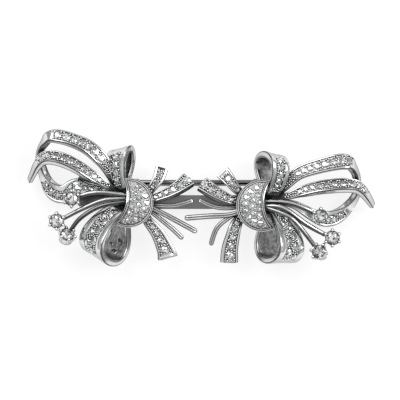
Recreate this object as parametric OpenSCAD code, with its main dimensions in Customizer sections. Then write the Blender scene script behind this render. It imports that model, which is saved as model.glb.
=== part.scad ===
// Double bow brooch: two sprays of bent ribbon, tails and stems, each under a domed crescent knot,
// on one back frame. It lies on its back: X runs along its length, Y up its height, Z towards the viewer.

/* [Ribbons] */
// Thickness of a bent ribbon
ribbon_t = 1.5; // [1.1:0.05:1.6]
// Thickness of a curl
curl_t = 1.05; // [0.9:0.05:1.3]
// Extra thickness at a curl's tip, as a share of its thickness
curl_swell = 0.45; // [0:0.05:0.5]
// Depth of the channel that holds a row of stones
channel_d = 0.6; // [0.55:0.01:0.7]
// Depth of the shallow groove on the plain stretches of a ribbon
groove_d = 0.06; // [0.04:0.01:0.1]
// Width of the stone channel in a curl, as a share of the curl's width
curl_channel_share = 0.5; // [0.44:0.01:0.52]
// Sections between two rows of a strap's table
strap_steps = 2; // [2:1:4]
// Sections round a curl
curl_steps = 18; // [16:2:30]

/* [Knots] */
// Height of the knots' flat underside
knot_base_z = 7.75; // [7.7:0.05:8]
// Height of the top of the knots' dome
knot_top_z = 9.9; // [9.6:0.1:10.3]
// Radius of the knots' dome
dome_r = 12; // [11:0.5:16]
// Width of a knot's raised rim
knot_rim_w = 0.55; // [0.45:0.05:0.6]
// Depth of the stone bed in a knot
knot_bed_d = 0.55; // [0.5:0.05:0.65]

/* [Settings] */
// Diameter of the single claw-set stones
claw_stone_d = 2.9; // [2.7:0.05:3]
// Claws on each setting
claws = 6; // [4:1:8]
// Diameter of a claw's wire
claw_wire_d = 0.56; // [0.45:0.01:0.6]
// Height of a setting's cup
cup_h = 2.1; // [1.8:0.1:2.3]

/* [Stones] */
// Height of a stone's crown, as a share of its diameter
crown_share = 0.15; // [0.12:0.01:0.17]
// Depth of a stone's pavilion, as a share of its diameter
pavilion_share = 0.29; // [0.25:0.01:0.3]
// Width of a stone's table, as a share of its diameter
table_share = 0.56; // [0.5:0.01:0.62]

/* [Frame and pin] */
// Diameter of the round top rail
rail_d = 1.1; // [0.9:0.1:1.2]
// Thickness of the flat bar and plates
plate_t = 0.85; // [0.7:0.05:0.9]
// Height of the underside of the bar and plates
plate_z = 2.5; // [2.5:0.05:2.6]
// Distance between the hinge and the catch of the pin
pin_span = 27.6; // [26:0.2:28]
// Diameter of the pin's wire
pin_d = 0.9; // [0.8:0.05:1]

/* [Hidden] */
$fn = 44;

WIDTH = 3;
BANK = 4;
LEFT = 5;
RIGHT = 6;
gap = 0.1;
full_w = 2.6;
curl_start = 24;
wire_steps = 3;
core_low = plate_z + plate_t + gap;
core_top = 5.6;
tail_root_top = 7.2;
stem_root_z = 6.3;
stem_root_top = 7.6;
solder_r = 0.55;
metal = "gainsboro";
gem = "lightcyan";

// The middle of a ribbon's upper face, from the core outwards.
// Columns: x, y, z, width, bank, left border, right border. A bank above 0 lifts the left edge.
left_loop = [
    [-17.4, 1.0, 5.4, 1.8, 0, 0.36, 0.36],
    [-19.5, 5.45, 6.3, 2.5, 10, 0.36, 0.4],
    [-21.4, 8.45, 7.3, 3.1, 22, 0.36, 0.45],
    [-24.15, 11, 8, 3.2, 28, 0.36, 0.45],
    [-27.5, 12.5, 8.4, 2.95, 28, 0.36, 0.4],
    [-30.8, 13.3, 8.1, 2.9, 24, 0.36, 0.36],
    [-32.95, 13.15, 7.3, 2.5, 34, 0.36, 0.36],
    [-34.15, 11.95, 6.3, 2.4, 62, 0.36, 0.36],
    [-35.15, 10.3, 5.2, 2.3, 74, 0.36, 0.36],
    [-35.5, 8.4, 4.2, 2.4, 74, 0.36, 0.36],
    [-35.1, 6.3, 3.5, 2.6, 66, 0.36, 0.36],
    [-34.4, 4.2, 3.1, 2.7, 56, 0.5, 0.36],
    [-33.3, 2.2, 3.0, 3.2, 34, 0.8, 0.5],
    [-31.6, 0.9, 3.2, 3.8, 12, 1.2, 0.6],
    [-29.4, 0.7, 3.5, 4.0, 2, 1.2, 0.6],
    [-26.9, 2.1, 4, 4.2, -12, 0.6, 0.6],
    [-24.2, 1.9, 4.3, 3.1, -20, 0.4, 0.4],
    [-21.4, 1.5, 4.5, 1.9, -8, 0.36, 0.36],
    [-18.9, 0.7, 4.4, 1.4, 0, 0.36, 0.36],
    [-17.0, -0.3, 4.2, 1.3, 0, 0.36, 0.36],
];
left_strap = [
    [-17.6, 0.9, 5.6, 1.2, 0, 0.36, 0.36],
    [-20.0, 2.5, 6.8, 1.5, 5, 0.36, 0.36],
    [-21.9, 3.8, 7.6, 2.0, 12, 0.36, 0.36],
    [-23.9, 5.2, 8.2, 2.5, 26, 0.36, 0.36],
    [-26.2, 6.8, 8.6, 2.85, 34, 0.36, 0.36],
    [-29.2, 8.3, 8.7, 3.15, 39, 0.36, 0.4],
    [-32.2, 9, 8.4, 3.2, 42, 0.36, 0.4],
    [-34.3, 8.5, 7.8, 2.9, 46, 0.36, 0.36],
    [-35.65, 6.95, 6.6, 2.2, 52, 0.36, 0.36],
    [-36.6, 5.15, 5, 1.8, 54, 0.36, 0.36],
    [-37.5, 3.55, 3.2, 1.6, 52, 0.36, 0.36],
];
right_loop = [
    [15.8, 0.4, 5.4, 1.8, 0, 0.36, 0.36],
    [18.0, 2.6, 6.3, 2.2, -6, 0.36, 0.36],
    [21.0, 5.3, 7.2, 2.8, -12, 0.36, 0.36],
    [25.4, 6.8, 8.0, 3.1, -12, 0.36, 0.4],
    [29.7, 7.7, 8.3, 3.4, -12, 0.36, 0.5],
    [31.9, 7.6, 7.6, 3.1, -28, 0.36, 0.5],
    [33.05, 6.5, 6.5, 2.4, -58, 0.36, 0.4],
    [33.95, 4.6, 5.2, 2.4, -70, 0.36, 0.36],
    [34.2, 2.4, 4.1, 2.4, -72, 0.36, 0.36],
    [33.9, 0.2, 3.4, 2.4, -68, 0.36, 0.36],
    [32.8, -1.7, 3.1, 2.5, -56, 0.36, 0.36],
    [31, -3.5, 3, 2.8, -32, 0.6, 0.7],
    [28.8, -4.5, 3.2, 3.2, -10, 0.6, 0.8],
    [26.4, -4.75, 3.5, 3.2, -2, 0.6, 0.8],
    [23.8, -3.7, 4.1, 2.6, 0, 0.5, 0.5],
    [20.4, -1.8, 4.6, 1.9, 0, 0.36, 0.36],
    [17.4, -1, 4.45, 1.5, 0, 0.36, 0.36],
    [15.4, -1, 4.3, 1.4, 0, 0.36, 0.36],
];
right_strap = [
    [15.8, 0.0, 5.6, 1.2, 0, 0.36, 0.36],
    [18.4, 0.3, 6.8, 1.6, -8, 0.36, 0.36],
    [21.4, 1.4, 7.8, 2.3, -24, 0.36, 0.36],
    [24.5, 2.3, 8.3, 2.8, -32, 0.36, 0.36],
    [27.7, 2.8, 8.6, 3.1, -38, 0.4, 0.36],
    [30.9, 3, 8.5, 3.2, -40, 0.4, 0.36],
    [33.3, 2.7, 7.9, 3, -42, 0.4, 0.36],
    [34.95, 1.65, 6.8, 2.6, -46, 0.36, 0.36],
    [36.3, -0.05, 5.2, 2.1, -50, 0.36, 0.36],
    [37.45, -1.9, 3.3, 1.6, -50, 0.36, 0.36],
];
left_tail_1 = [
    [-12.3, -0.4, 6.3, 1.2, 0, 0.3, 0.3],
    [-10.45, 2.1, 6.5, 1.9, 0, 0.36, 0.36],
    [-9.15, 4.1, 6.3, 2.5, 0, 0.5, 0.5],
    [-8.4, 6.5, 5.6, 2.8, 0, 0.5, 0.5],
];
left_tail_2 = [
    [-12.5, -1.0, 6.2, 1.4, 0, 0.3, 0.3],
    [-10.3, -0.1, 6.6, 1.9, -20, 0.3, 0.3],
    [-6.8, 1.3, 6.7, 2.5, -25, 0.36, 0.36],
    [-4.2, 2.9, 6.3, 3.1, -25, 0.36, 0.36],
    [-2.6, 4.2, 5.8, 3.6, -22, 0.36, 0.36],
];
left_tail_3 = [
    [-12.6, -2.4, 6.2, 1.6, 0, 0.36, 0.3],
    [-11.4, -5.0, 6.5, 2.2, -8, 0.5, 0.36],
    [-9.2, -7.9, 6.4, 2.9, -8, 0.6, 0.4],
    [-7.6, -11.3, 5.8, 3.7, -8, 0.7, 0.4],
    [-7.1, -13.2, 5.3, 4.4, -6, 0.7, 0.4],
];
right_tail_1 = [
    [9.9, -0.3, 6.3, 1.3, 0, 0.3, 0.3],
    [7.6, 1.7, 6.5, 2.0, 0, 0.3, 0.3],
    [6.1, 3.6, 6.3, 2.6, 0, 0.36, 0.36],
    [4.4, 5.6, 5.6, 3.2, 0, 0.36, 0.36],
];
right_tail_2 = [
    [9.7, -1.2, 6.2, 1.4, 0, 0.3, 0.3],
    [6.9, -0.6, 6.6, 2.0, 20, 0.3, 0.3],
    [4.3, 0.5, 6.7, 2.7, 25, 0.36, 0.36],
    [2.0, 1.9, 6.3, 3.1, 25, 0.36, 0.36],
    [0.1, 3.2, 5.8, 3.4, 22, 0.36, 0.36],
];
right_tail_3 = [
    [9.4, -3.0, 6.2, 1.6, 0, 0.36, 0.36],
    [7.6, -5.6, 6.5, 2.5, 0, 0.4, 0.5],
    [6.7, -8.5, 6.4, 3.1, 0, 0.5, 0.7],
    [6.1, -11.4, 5.8, 3.6, 0, 0.5, 0.8],
    [6.0, -14.2, 5.1, 3.9, 0, 0.5, 0.8],
];

// A curl is a drop-shaped loop. Columns: x, y, z of its root, reach, height, heading, lean,
// width at the root, width at the tip, skew. A lean above 0 tips its top to the left of its heading,
// and a skew above 0 carries its right edge further along the heading.
left_upper_curl = [-17.4, 0.9, 5.9, 9.7, 3.9, 89, 38, 2.4, 6.0, -0.2];
left_lower_curl = [-17.25, -1.6, 5.81, 12.6, 9.2, 247, -40, 3.4, 7.9, 0.1];
right_upper_curl = [15.0, -0.3, 5.9, 9.8, 7.9, 89, -30, 2.6, 4.8, 0.18];
right_lower_curl = [16.0, -2.2, 5.55, 12.05, 8.8, 275, 39, 3.4, 7.5, 0.07];

// Plain wires of the tails and the stems. Columns: x, y, z, radius
left_wires = [
    [[-12.3, -1.6, 5.2, 0.5], [-9.0, -1.8, 5.3, 0.5], [-5.6, -1.8, 5.2, 0.5], [-1.7, -0.7, 4.9, 0.5]],
    [[-12.3, -1.6, 5.9, 0.5], [-9.8, -2.7, 6.0, 0.55], [-5.2, -5.1, 5.7, 0.6], [-0.9, -7.5, 5.2, 0.6]],
    [[-12.4, -2.0, 5.5, 0.5], [-9.9, -3.8, 5.6, 0.5], [-6.3, -6.7, 5.3, 0.55], [-3.9, -9.0, 4.8, 0.55]],
];
right_wires = [
    [[9.9, -1.6, 5.2, 0.5], [6.4, -2.3, 5.3, 0.5], [3.0, -2.1, 5.2, 0.5], [-0.6, -0.6, 4.9, 0.5]],
    [[9.8, -2.6, 6.1, 0.5], [6.0, -3.8, 6.0, 0.55], [1.5, -4.1, 5.7, 0.6], [-3.6, -4.5, 5.2, 0.6]],
    [[9.6, -2.4, 5.5, 0.5], [6.4, -4.1, 5.6, 0.5], [3.4, -6.6, 5.3, 0.55], [2.0, -10.4, 4.8, 0.55]],
];
left_stem_wires = [
    [[-15.3, 0.3, 7.0, 0.44], [-20.6, 1.0, 7.1, 0.48], [-24.0, 0.8, 7.0, 0.5], [-27.35, -0.2, 6.4, 0.46]],
    [[-15.3, -0.3, 7.0, 0.44], [-20.6, -0.6, 7.0, 0.52], [-25.5, -2.5, 6.9, 0.5], [-30.42, -5.05, 6.12, 0.46]],
    [[-15.3, -0.9, 6.8, 0.44], [-21.4, -1.9, 6.9, 0.5], [-26.0, -4.6, 6.55, 0.5], [-28.65, -8.15, 5.3, 0.46]],
];
right_stem_wires = [
    [[12.9, -0.9, 7.0, 0.44], [18.6, -1.2, 7.1, 0.56], [22.4, -2.5, 7.0, 0.56], [25.2, -4.0, 6.4, 0.46]],
    [[12.9, -1.9, 7.1, 0.44], [17.4, -2.3, 7.8, 0.58], [22.5, -5.8, 7.4, 0.6], [27.6, -8.6, 6.1, 0.46]],
    [[13.1, -2.0, 7.0, 0.44], [18.8, -4.2, 8.2, 0.5], [22.4, -8.0, 7.3, 0.5], [25.1, -11.6, 5.4, 0.46]],
];
// A setting's cup stands on a stem. Columns: x, y, z of its foot, lean, direction of the lean,
// radius of the foot
left_settings = [
    [-27.5, -0.3, 5.9, 5, 180, 1],
    [-30.7, -5.1, 5.6, 5, 180, 1],
    [-29.15, -9.2, 5.6, 41, 67, 1.45],
];
right_settings = [
    [25.3, -4.1, 5.9, 5, 0, 1],
    [27.8, -8.7, 5.6, 5, 0, 1],
    [26.0, -12.35, 5.5, 35, 140, 1.34],
];

// A knot is a disc with a round bite. Columns: x, y, radius, then x, y, radius of the bite
left_knot_plan = [-15.5, -1.2, 5.3, -23.1, 0.3, 7.3];
right_knot_plan = [13.0, -1.8, 5.55, 21.4, -1.0, 8.05];
// Rings of stones on a knot. Columns: radius, stones, half of their spread, stone diameter
knot_rings = [
    [4.0, 8, 78, 1.35],
    [2.5, 5, 70, 1.3],
    [1.15, 2, 42, 1.2],
];

// Rows of stones. Columns: first place, last place, stones, first diameter, last diameter
left_upper_row = [1.95, 4.95, 7, 1.55, 1.75];
left_middle_row = [1.9, 7.2, 10, 1.05, 1.7];
left_lower_row = [11.9, 16.6, 9, 1.4, 1.2];
right_upper_row = [1.9, 4.8, 8, 1.25, 1.8];
right_middle_row = [1.85, 7.1, 10, 1.1, 1.65];
right_lower_row = [11.4, 12.95, 3, 1.3, 1.6];
// A curl's row ends with a column that is 1 where its stones zigzag and 0 where they lie in line
left_upper_curl_row = [62, 128, 4, 1.4, 1.85, 0];
left_lower_curl_row = [55, 143, 9, 1.3, 1.8, 1];
right_upper_curl_row = [60, 134, 5, 1.2, 1.7, 0];
right_lower_curl_row = [55, 144, 9, 1.25, 1.75, 1];
left_tail_rows = [[1.0, 2.3, 3, 1.0, 1.4], [1.1, 3.6, 6, 0.95, 1.7], [1.1, 3.0, 5, 1.0, 1.7]];
right_tail_rows = [[0.9, 2.2, 3, 1.05, 1.65], [1.1, 3.6, 5, 1.15, 1.75], [1.0, 3.4, 5, 1.15, 1.85]];

function mix(a, b, share) = a + (b - a) * share;
function unit(v) = v / norm(v);

// A row between two rows of a table, on a smooth curve through them all
function row_at(rows, place) =
    let (
        last = len(rows) - 1,
        i = min(floor(place), last - 1),
        t = place - i,
        a = rows[max(i - 1, 0)],
        b = rows[i],
        c = rows[i + 1],
        d = rows[min(i + 2, last)]
    )
    b + (t / 2) * ((c - a) + t * ((2 * a - 5 * b + 4 * c - d) + t * (3 * (b - c) + d - a)));

function point_of(row) = [row.x, row.y, row.z];

function direction_at(rows, place) =
    let (step = 0.05, last = len(rows) - 1)
    unit(point_of(row_at(rows, min(place + step, last))) - point_of(row_at(rows, max(place - step, 0))));

function thickness_of(width) = ribbon_t * max(0.5, min(1, width / full_w));

// A section's place: [middle, across, outwards, width, left border, right border, thickness]
function strap_section(rows, place) =
    let (
        row = row_at(rows, place),
        along = direction_at(rows, place),
        level = unit([-along.y, along.x, 0]),
        across = cos(row[BANK]) * level + sin(row[BANK]) * cross(along, level)
    )
    concat([point_of(row), across, cross(along, across)],
        [row[WIDTH], row[LEFT], row[RIGHT], thickness_of(row[WIDTH])]);

function wire_section(rows, place) =
    let (
        row = row_at(rows, place),
        along = direction_at(rows, place),
        level = unit([-along.y, along.x, 0])
    )
    [point_of(row), level, cross(along, level), row[3]];

function curl_axes(curl) =
    let (
        along = [cos(curl[5]), sin(curl[5]), 0],
        left = [-along.y, along.x, 0],
        up = [0, 0, cos(curl[6])] + sin(curl[6]) * left
    )
    [along, up, unit(cross(up, along) + curl[9] * along)];

function curl_rise(curl, turn) = 0.65 * curl[4] * sin(turn) * sin(turn / 2);

function curl_point(curl, turn) =
    let (axes = curl_axes(curl), reach = curl[3] * (1 - cos(turn)) / 2)
    [curl[0], curl[1], curl[2]] + axes[0] * reach + axes[1] * curl_rise(curl, turn);

// A curl thins towards its root, where its two arms meet, and swells at its tip
function curl_thickness(curl, turn) =
    abs(cos(turn / 2)) < 0.6
        ? curl_t * (1 + curl_swell * pow(sin(turn / 2), 8))
        : min(curl_t, 0.8 * abs(curl_rise(curl, turn)));

function curl_section(curl, turn) =
    let (
        across = curl_axes(curl)[2],
        along = unit(curl_point(curl, turn + 1) - curl_point(curl, turn - 1)),
        width = mix(curl[7], curl[8], sin(turn / 2)),
        border = (1 - curl_channel_share) / 2 * width
    )
    concat([curl_point(curl, turn), across, unit(cross(along, across))],
        [width, border, border, curl_thickness(curl, turn)]);

// Eight corners of a ribbon: flat below, with a channel between two borders above
function ribbon_ring(section, depth) =
    let (
        half = section[3] / 2,
        t = section[6],
        left = half - section[4],
        right = half - section[5],
        corners = [
            [-half, -t], [half, -t], [half, 0], [left, 0],
            [left, -depth], [-right, -depth], [-right, 0], [-half, 0]
        ]
    )
    [for (p = corners) section[0] + p.x * section[1] + p.y * section[2]];

function wire_ring(section, sides) =
    [for (i = [0 : sides - 1]) let (a = 360 * i / sides)
        section[0] + section[3] * (cos(a) * section[1] + sin(a) * section[2])];

// The channel is cut between two places and fades to the shallow groove past them
function depth_at(place, from, to, fade) =
    max(groove_d, min(channel_d, channel_d * min(place - from, to - place) / fade));

module skin(rings, caps) {
    n = len(rings[0]);
    last = len(rings) - 1;
    points = [for (ring = rings) each ring];
    sides = [
        for (i = [0 : last - 1], j = [0 : n - 1])
            let (k = (j + 1) % n, a = i * n, b = (i + 1) * n)
            each [[a + j, b + j, b + k], [a + j, b + k, a + k]]
    ];
    ends = [for (cap = caps) [for (i = [len(cap) - 1 : -1 : 0]) last * n + cap[i]]];
    polyhedron(points, concat(caps, sides, ends), convexity = 8);
}

module ribbon(rows, lines) {
    last = len(rows) - 1;
    count = last * strap_steps;
    room = 0.6;
    fade = 0.1;
    rings = [
        for (i = [0 : count])
            let (
                place = last * i / count,
                depths = [for (line = lines) depth_at(place, line[0] - room, line[1] + room, fade)]
            )
            ribbon_ring(strap_section(rows, place), max(depths))
    ];
    skin(rings, [[0, 1, 4, 5], [1, 2, 3, 4], [5, 6, 7, 0]]);
}

module curl(row, row_of_stones) {
    room = 14;
    fade = 6;
    rings = [
        for (i = [0 : curl_steps])
            let (turn = mix(curl_start, 360 - curl_start, i / curl_steps))
            ribbon_ring(
                curl_section(row, turn),
                depth_at(turn, row_of_stones[0] - room, row_of_stones[1] + room, fade)
            )
    ];
    skin(rings, [[0, 1, 4, 5], [1, 2, 3, 4], [5, 6, 7, 0]]);
}

module wire(rows, sides = 6) {
    last = len(rows) - 1;
    count = last * wire_steps;
    skin(
        [for (i = [0 : count]) wire_ring(wire_section(rows, last * i / count), sides)],
        [[for (i = [0 : sides - 1]) i]]
    );
}

// Solder that fills the root of a ribbon or a wire into the body that it starts from
module solder(from, to, r) {
    hull() {
        translate(from) sphere(r, $fn = 6);
        translate(to) sphere(r, $fn = 6);
    }
}

// A cut stone: a table, eight kite facets split in two, and an eight-sided pavilion
module cut_stone(section, d) {
    turn = 22.5;
    at = section[0];
    u = section[1];
    w = section[2];
    v = cross(w, u);
    table = [for (i = [0 : 7]) at + w * crown_share * d
        + table_share * d / 2 * (cos(45 * i + turn) * u + sin(45 * i + turn) * v)];
    girdle = [for (i = [0 : 7]) at + d / 2 * (cos(45 * i) * u + sin(45 * i) * v)];
    culet = at - w * pavilion_share * d;
    crown = [for (i = [0 : 7]) let (j = (i + 1) % 8)
        each [[8 + i, i, 8 + j], [i, j, 8 + j]]];
    pavilion = [for (i = [0 : 7]) [16, 8 + i, 8 + (i + 1) % 8]];
    polyhedron(concat(table, girdle, [culet]), concat([[7, 6, 5, 4, 3, 2, 1, 0]], crown, pavilion));
}

// The way along a line of places, as pairs of distance and place
function travel(points, places) = [
    for (
        i = 0, way = 0;
        i < len(points);
        i = i + 1, way = way + (i < len(points) ? norm(points[i] - points[i - 1]) : 0)
    )
        [way, places[i]]
];

// Places for a row of stones, spaced by their diameters: place, diameter and side of a zigzag
function stone_places(points, places, line) =
    let (
        ways = travel(points, places),
        m = line[2] - 1,
        grow = line[4] - line[3],
        whole = ways[len(ways) - 1][0]
    )
    [
        for (i = [0 : m])
            let (share = (i * line[3] + grow * i * i / (2 * m)) / (m * (line[3] + line[4]) / 2))
            [lookup(whole * share, ways), mix(line[3], line[4], i / m), i % 2 == 0 ? 1 : -1]
    ];

function fine_places(line) = [for (i = [0 : 40]) mix(line[0], line[1], i / 40)];

// The middle of the channel, which lies off the middle of a ribbon with unequal borders
function channel_section(section) =
    concat([section[0] + section[1] * (section[5] - section[4]) / 2], [section[1], section[2]]);

// A section moved sideways in its channel, as far as a stone of diameter d can go
function stepped(section, d, side) =
    let (room = section[3] / 2 - section[4] - d / 2 - gap)
    concat([section[0] + side * room * section[1]], [section[1], section[2]]);

module strap_stones(rows, line) {
    places = fine_places(line);
    points = [for (place = places) point_of(row_at(rows, place))];
    color(gem)
        for (spot = stone_places(points, places, line))
            cut_stone(channel_section(strap_section(rows, spot[0])), spot[1]);
}

module curl_stones(row, line) {
    places = fine_places(line);
    points = [for (place = places) curl_point(row, place)];
    color(gem)
        for (spot = stone_places(points, places, line))
            cut_stone(stepped(curl_section(row, spot[0]), spot[1], spot[2] * line[5]), spot[1]);
}

// The short block under a knot that ribbons, tails or stems are soldered to
module root_block(at, r, low, high) {
    translate([at.x, at.y, low]) cylinder(h = high - low, r = r, $fn = 16);
}

// The straps and curls of one spray, with room for the knot and the stems above them
module ribbons(core, plan, wires, loop, loop_lines, strap, strap_row, upper, upper_row, lower, lower_row) {
    color(metal) difference() {
        ribbon_body(core, loop, loop_lines, strap, strap_row, upper, upper_row, lower, lower_row);
        crescent(plan, gap, knot_base_z - gap, knot_top_z + 1);
        for (w = wires) wire([for (p = w) p + [0, 0, 0, gap]]);
    }
}

module ribbon_body(core, loop, loop_lines, strap, strap_row, upper, upper_row, lower, lower_row) {
    last = len(loop) - 1;
    middle = [core.x, core.y, 5];
    union() {
        root_block(core, 2, core_low, core_top);
        ribbon(loop, loop_lines);
        ribbon(strap, [strap_row]);
        curl(upper, upper_row);
        curl(lower, lower_row);
        solder(middle, point_of(row_at(loop, 0.4)) - [0, 0, 0.7], solder_r);
        solder(middle, point_of(row_at(loop, last - 0.5)) - [0, 0, 0.3], solder_r - gap);
        solder(middle, point_of(row_at(strap, 0.4)) - [0, 0, 0.6], solder_r);
        for (turn = [curl_start + 8, 352 - curl_start])
            for (c = [upper, lower])
                let (section = curl_section(c, turn))
                solder(middle, section[0] - section[2] * curl_t / 2, solder_r);
        solder(middle, middle - [0, 0, 0.3], 0.8);
    }
}

module tails(root, tail_1, tail_2, tail_3, rows, wires, cut_ends) {
    color(metal) union() {
        root_block(root, 1.9, core_low, tail_root_top);
        tail(tail_1, rows[0]) if (cut_ends) notch(tail_1);
        tail(tail_2, rows[1]) {}
        tail(tail_3, rows[2]) if (cut_ends) slot(tail_3);
        for (w = wires) wire(w);
        for (w = wires) solder([root.x, root.y, 5], point_of(row_at(w, 0.6)), 0.45);
        for (t = [tail_1, tail_2, tail_3])
            for (side = [0, 0.35])
                solder([root.x, root.y, 5.2], point_of(row_at(t, side)) - [0, 0, 0.8], solder_r);
    }
}

// A tail is a ribbon less what is cut from its end
module tail(rows, line) {
    difference() {
        ribbon(rows, [line]);
        children();
    }
}

function end_heading(rows) =
    let (v = direction_at(rows, len(rows) - 1)) atan2(v.y, v.x);

module notch(rows) {
    tip = row_at(rows, len(rows) - 1);
    translate([tip.x, tip.y, 0]) rotate([0, 0, end_heading(rows)])
        translate([-0.85, 0, 0]) rotate([0, 0, -45]) cube([4, 4, knot_base_z]);
}

module slot(rows) {
    tip = row_at(rows, len(rows) - 1);
    translate([tip.x, tip.y, 0]) rotate([0, 0, end_heading(rows)])
        translate([-1.15, -tip[WIDTH] / 2 + 0.75, 0]) cube([0.65, tip[WIDTH] - 1.3, knot_base_z]);
}

module stems(root, wires, settings) {
    color(metal) union() {
        root_block(root, 0.95, stem_root_z, stem_root_top);
        for (w = wires) wire(w);
        for (s = settings) seat(s) setting(s[5]);
    }
}

module seat(s) {
    translate([s.x, s.y, s.z]) rotate([0, s[3], s[4]]) children();
}

// A cup open below and above, with claws that rise over the stone's edge
module setting(foot_r) {
    r = claw_stone_d / 2;
    foot_h = 0.75;
    difference() {
        cylinder(h = cup_h, r1 = foot_r, r2 = r + 0.25, $fn = 10);
        translate([0, 0, foot_h]) cylinder(h = cup_h, r1 = foot_r - 0.25, r2 = r + 0.45, $fn = 10);
    }
    for (i = [0 : claws - 1])
        rotate([0, 0, 360 * (i + 0.5) / claws])
            claw([foot_r + claw_wire_d / 2, 0, foot_h], [r + 0.42, 0, cup_h + 0.42]);
}

module claw(from, to) {
    hull() {
        translate(from) sphere(claw_wire_d / 2, $fn = 5);
        translate(to) sphere(claw_wire_d / 2, $fn = 5);
    }
}

module claw_stone(s) {
    color(gem) seat(s) cut_stone([[0, 0, cup_h + 0.06], [1, 0, 0], [0, 0, 1]], claw_stone_d - gap);
}

module crescent(plan, grow, low, high) {
    translate([0, 0, low]) difference() {
        translate([plan[0], plan[1], 0]) cylinder(h = high - low, r = plan[2] + grow);
        translate([plan[3], plan[4], -1]) cylinder(h = high - low + 2, r = plan[5] - grow);
    }
}

function dome_middle(plan) = [plan[0], plan[1], knot_top_z - dome_r];

module knot(plan) {
    color(metal) difference() {
        intersection() {
            crescent(plan, 0, knot_base_z, knot_top_z + 1);
            translate(dome_middle(plan)) sphere(dome_r);
        }
        difference() {
            crescent(plan, -knot_rim_w, knot_base_z, knot_top_z + 2);
            translate(dome_middle(plan)) sphere(dome_r - knot_bed_d);
        }
    }
}

module knot_stones(plan) {
    middle = dome_middle(plan);
    away = atan2(plan[1] - plan[4], plan[0] - plan[3]);
    color(gem)
        for (line = knot_rings, i = [0 : line[1] - 1])
            let (
                a = away + mix(-line[2], line[2], i / (line[1] - 1)),
                tilt = asin(line[0] / dome_r),
                out = [sin(tilt) * cos(a), sin(tilt) * sin(a), cos(tilt)],
                side = [-sin(a), cos(a), 0]
            )
            cut_stone([middle + out * (dome_r - 0.1), side, out], line[3]);
}

module frame() {
    rail_y = 3.2;
    bar_y = -1.05;
    bar_w = 3;
    left = [-15, -0.6];
    right = [12.8, -1.0];
    color("silver") union() {
        translate([left.x, rail_y, plate_z + plate_t - rail_d / 2]) rotate([0, 90, 0])
            cylinder(h = right.x - left.x, d = rail_d);
        translate([left.x, bar_y - bar_w / 2, plate_z]) cube([right.x - left.x, bar_w, plate_t]);
        for (end = [left, right])
            translate([end.x, end.y, plate_z]) cylinder(h = plate_t, r = 3.3);
    }
}

// Hinge, wire and catch of the pin, on the back under the top rail
module pin() {
    pin_y = 2.9;
    pin_z = 0.95;
    top = plate_z + plate_t - rail_d - gap;
    block = [3, 2.2, top];
    middle_x = -1.1;
    color("silver") union() {
        for (x = [middle_x - pin_span / 2, middle_x + pin_span / 2])
            translate([x - block.x / 2, pin_y - block.y / 2, 0]) cube(block);
        translate([middle_x - pin_span / 2, pin_y, pin_z]) rotate([0, 90, 0])
            cylinder(h = pin_span + 2.2, d = pin_d);
    }
}

left_core = [-16.3, -0.6];
right_core = [13.7, -1.0];
left_root = [-12.2, -1.5];
right_root = [9.6, -2.0];
left_stem_root = [-15.3, -0.3];
right_stem_root = [12.9, -1.4];

ribbons(left_core, left_knot_plan, left_stem_wires,  // left_ribbons
        left_loop, [left_upper_row, left_lower_row], left_strap, left_middle_row,
        left_upper_curl, left_upper_curl_row, left_lower_curl, left_lower_curl_row);
tails(left_root, left_tail_1, left_tail_2, left_tail_3, left_tail_rows, left_wires, true);  // left_tails
stems(left_stem_root, left_stem_wires, left_settings);  // left_stems
knot(left_knot_plan);  // left_knot
knot_stones(left_knot_plan);  // left_knot_stones
strap_stones(left_loop, left_upper_row);  // left_upper_strap_stones
strap_stones(left_strap, left_middle_row);  // left_middle_strap_stones
strap_stones(left_loop, left_lower_row);  // left_lower_strap_stones
curl_stones(left_upper_curl, left_upper_curl_row);  // left_upper_curl_stones
curl_stones(left_lower_curl, left_lower_curl_row);  // left_lower_curl_stones
strap_stones(left_tail_1, left_tail_rows[0]);  // left_tail_stones_1
strap_stones(left_tail_2, left_tail_rows[1]);  // left_tail_stones_2
strap_stones(left_tail_3, left_tail_rows[2]);  // left_tail_stones_3
claw_stone(left_settings[0]);  // left_claw_stone_1
claw_stone(left_settings[1]);  // left_claw_stone_2
claw_stone(left_settings[2]);  // left_claw_stone_3
ribbons(right_core, right_knot_plan, right_stem_wires,  // right_ribbons
        right_loop, [right_upper_row, right_lower_row], right_strap, right_middle_row,
        right_upper_curl, right_upper_curl_row, right_lower_curl, right_lower_curl_row);
tails(right_root, right_tail_1, right_tail_2, right_tail_3, right_tail_rows, right_wires, false);  // right_tails
stems(right_stem_root, right_stem_wires, right_settings);  // right_stems
knot(right_knot_plan);  // right_knot
knot_stones(right_knot_plan);  // right_knot_stones
strap_stones(right_loop, right_upper_row);  // right_upper_strap_stones
strap_stones(right_strap, right_middle_row);  // right_middle_strap_stones
strap_stones(right_loop, right_lower_row);  // right_lower_strap_stones
curl_stones(right_upper_curl, right_upper_curl_row);  // right_upper_curl_stones
curl_stones(right_lower_curl, right_lower_curl_row);  // right_lower_curl_stones
strap_stones(right_tail_1, right_tail_rows[0]);  // right_tail_stones_1
strap_stones(right_tail_2, right_tail_rows[1]);  // right_tail_stones_2
strap_stones(right_tail_3, right_tail_rows[2]);  // right_tail_stones_3
claw_stone(right_settings[0]);  // right_claw_stone_1
claw_stone(right_settings[1]);  // right_claw_stone_2
claw_stone(right_settings[2]);  // right_claw_stone_3
frame();
pin();
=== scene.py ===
# %% [markdown]
# # A double bow brooch
# This lesson dresses a imported CAD model of a brooch: two sprays of bent white-metal ribbon set
# with clear stones, each under a domed crescent knot, on one bar frame with a pin on its back.
# The CAD model comes first, because every piece here has to lie where its solid lies.

import math
import random
from functools import partial

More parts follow.
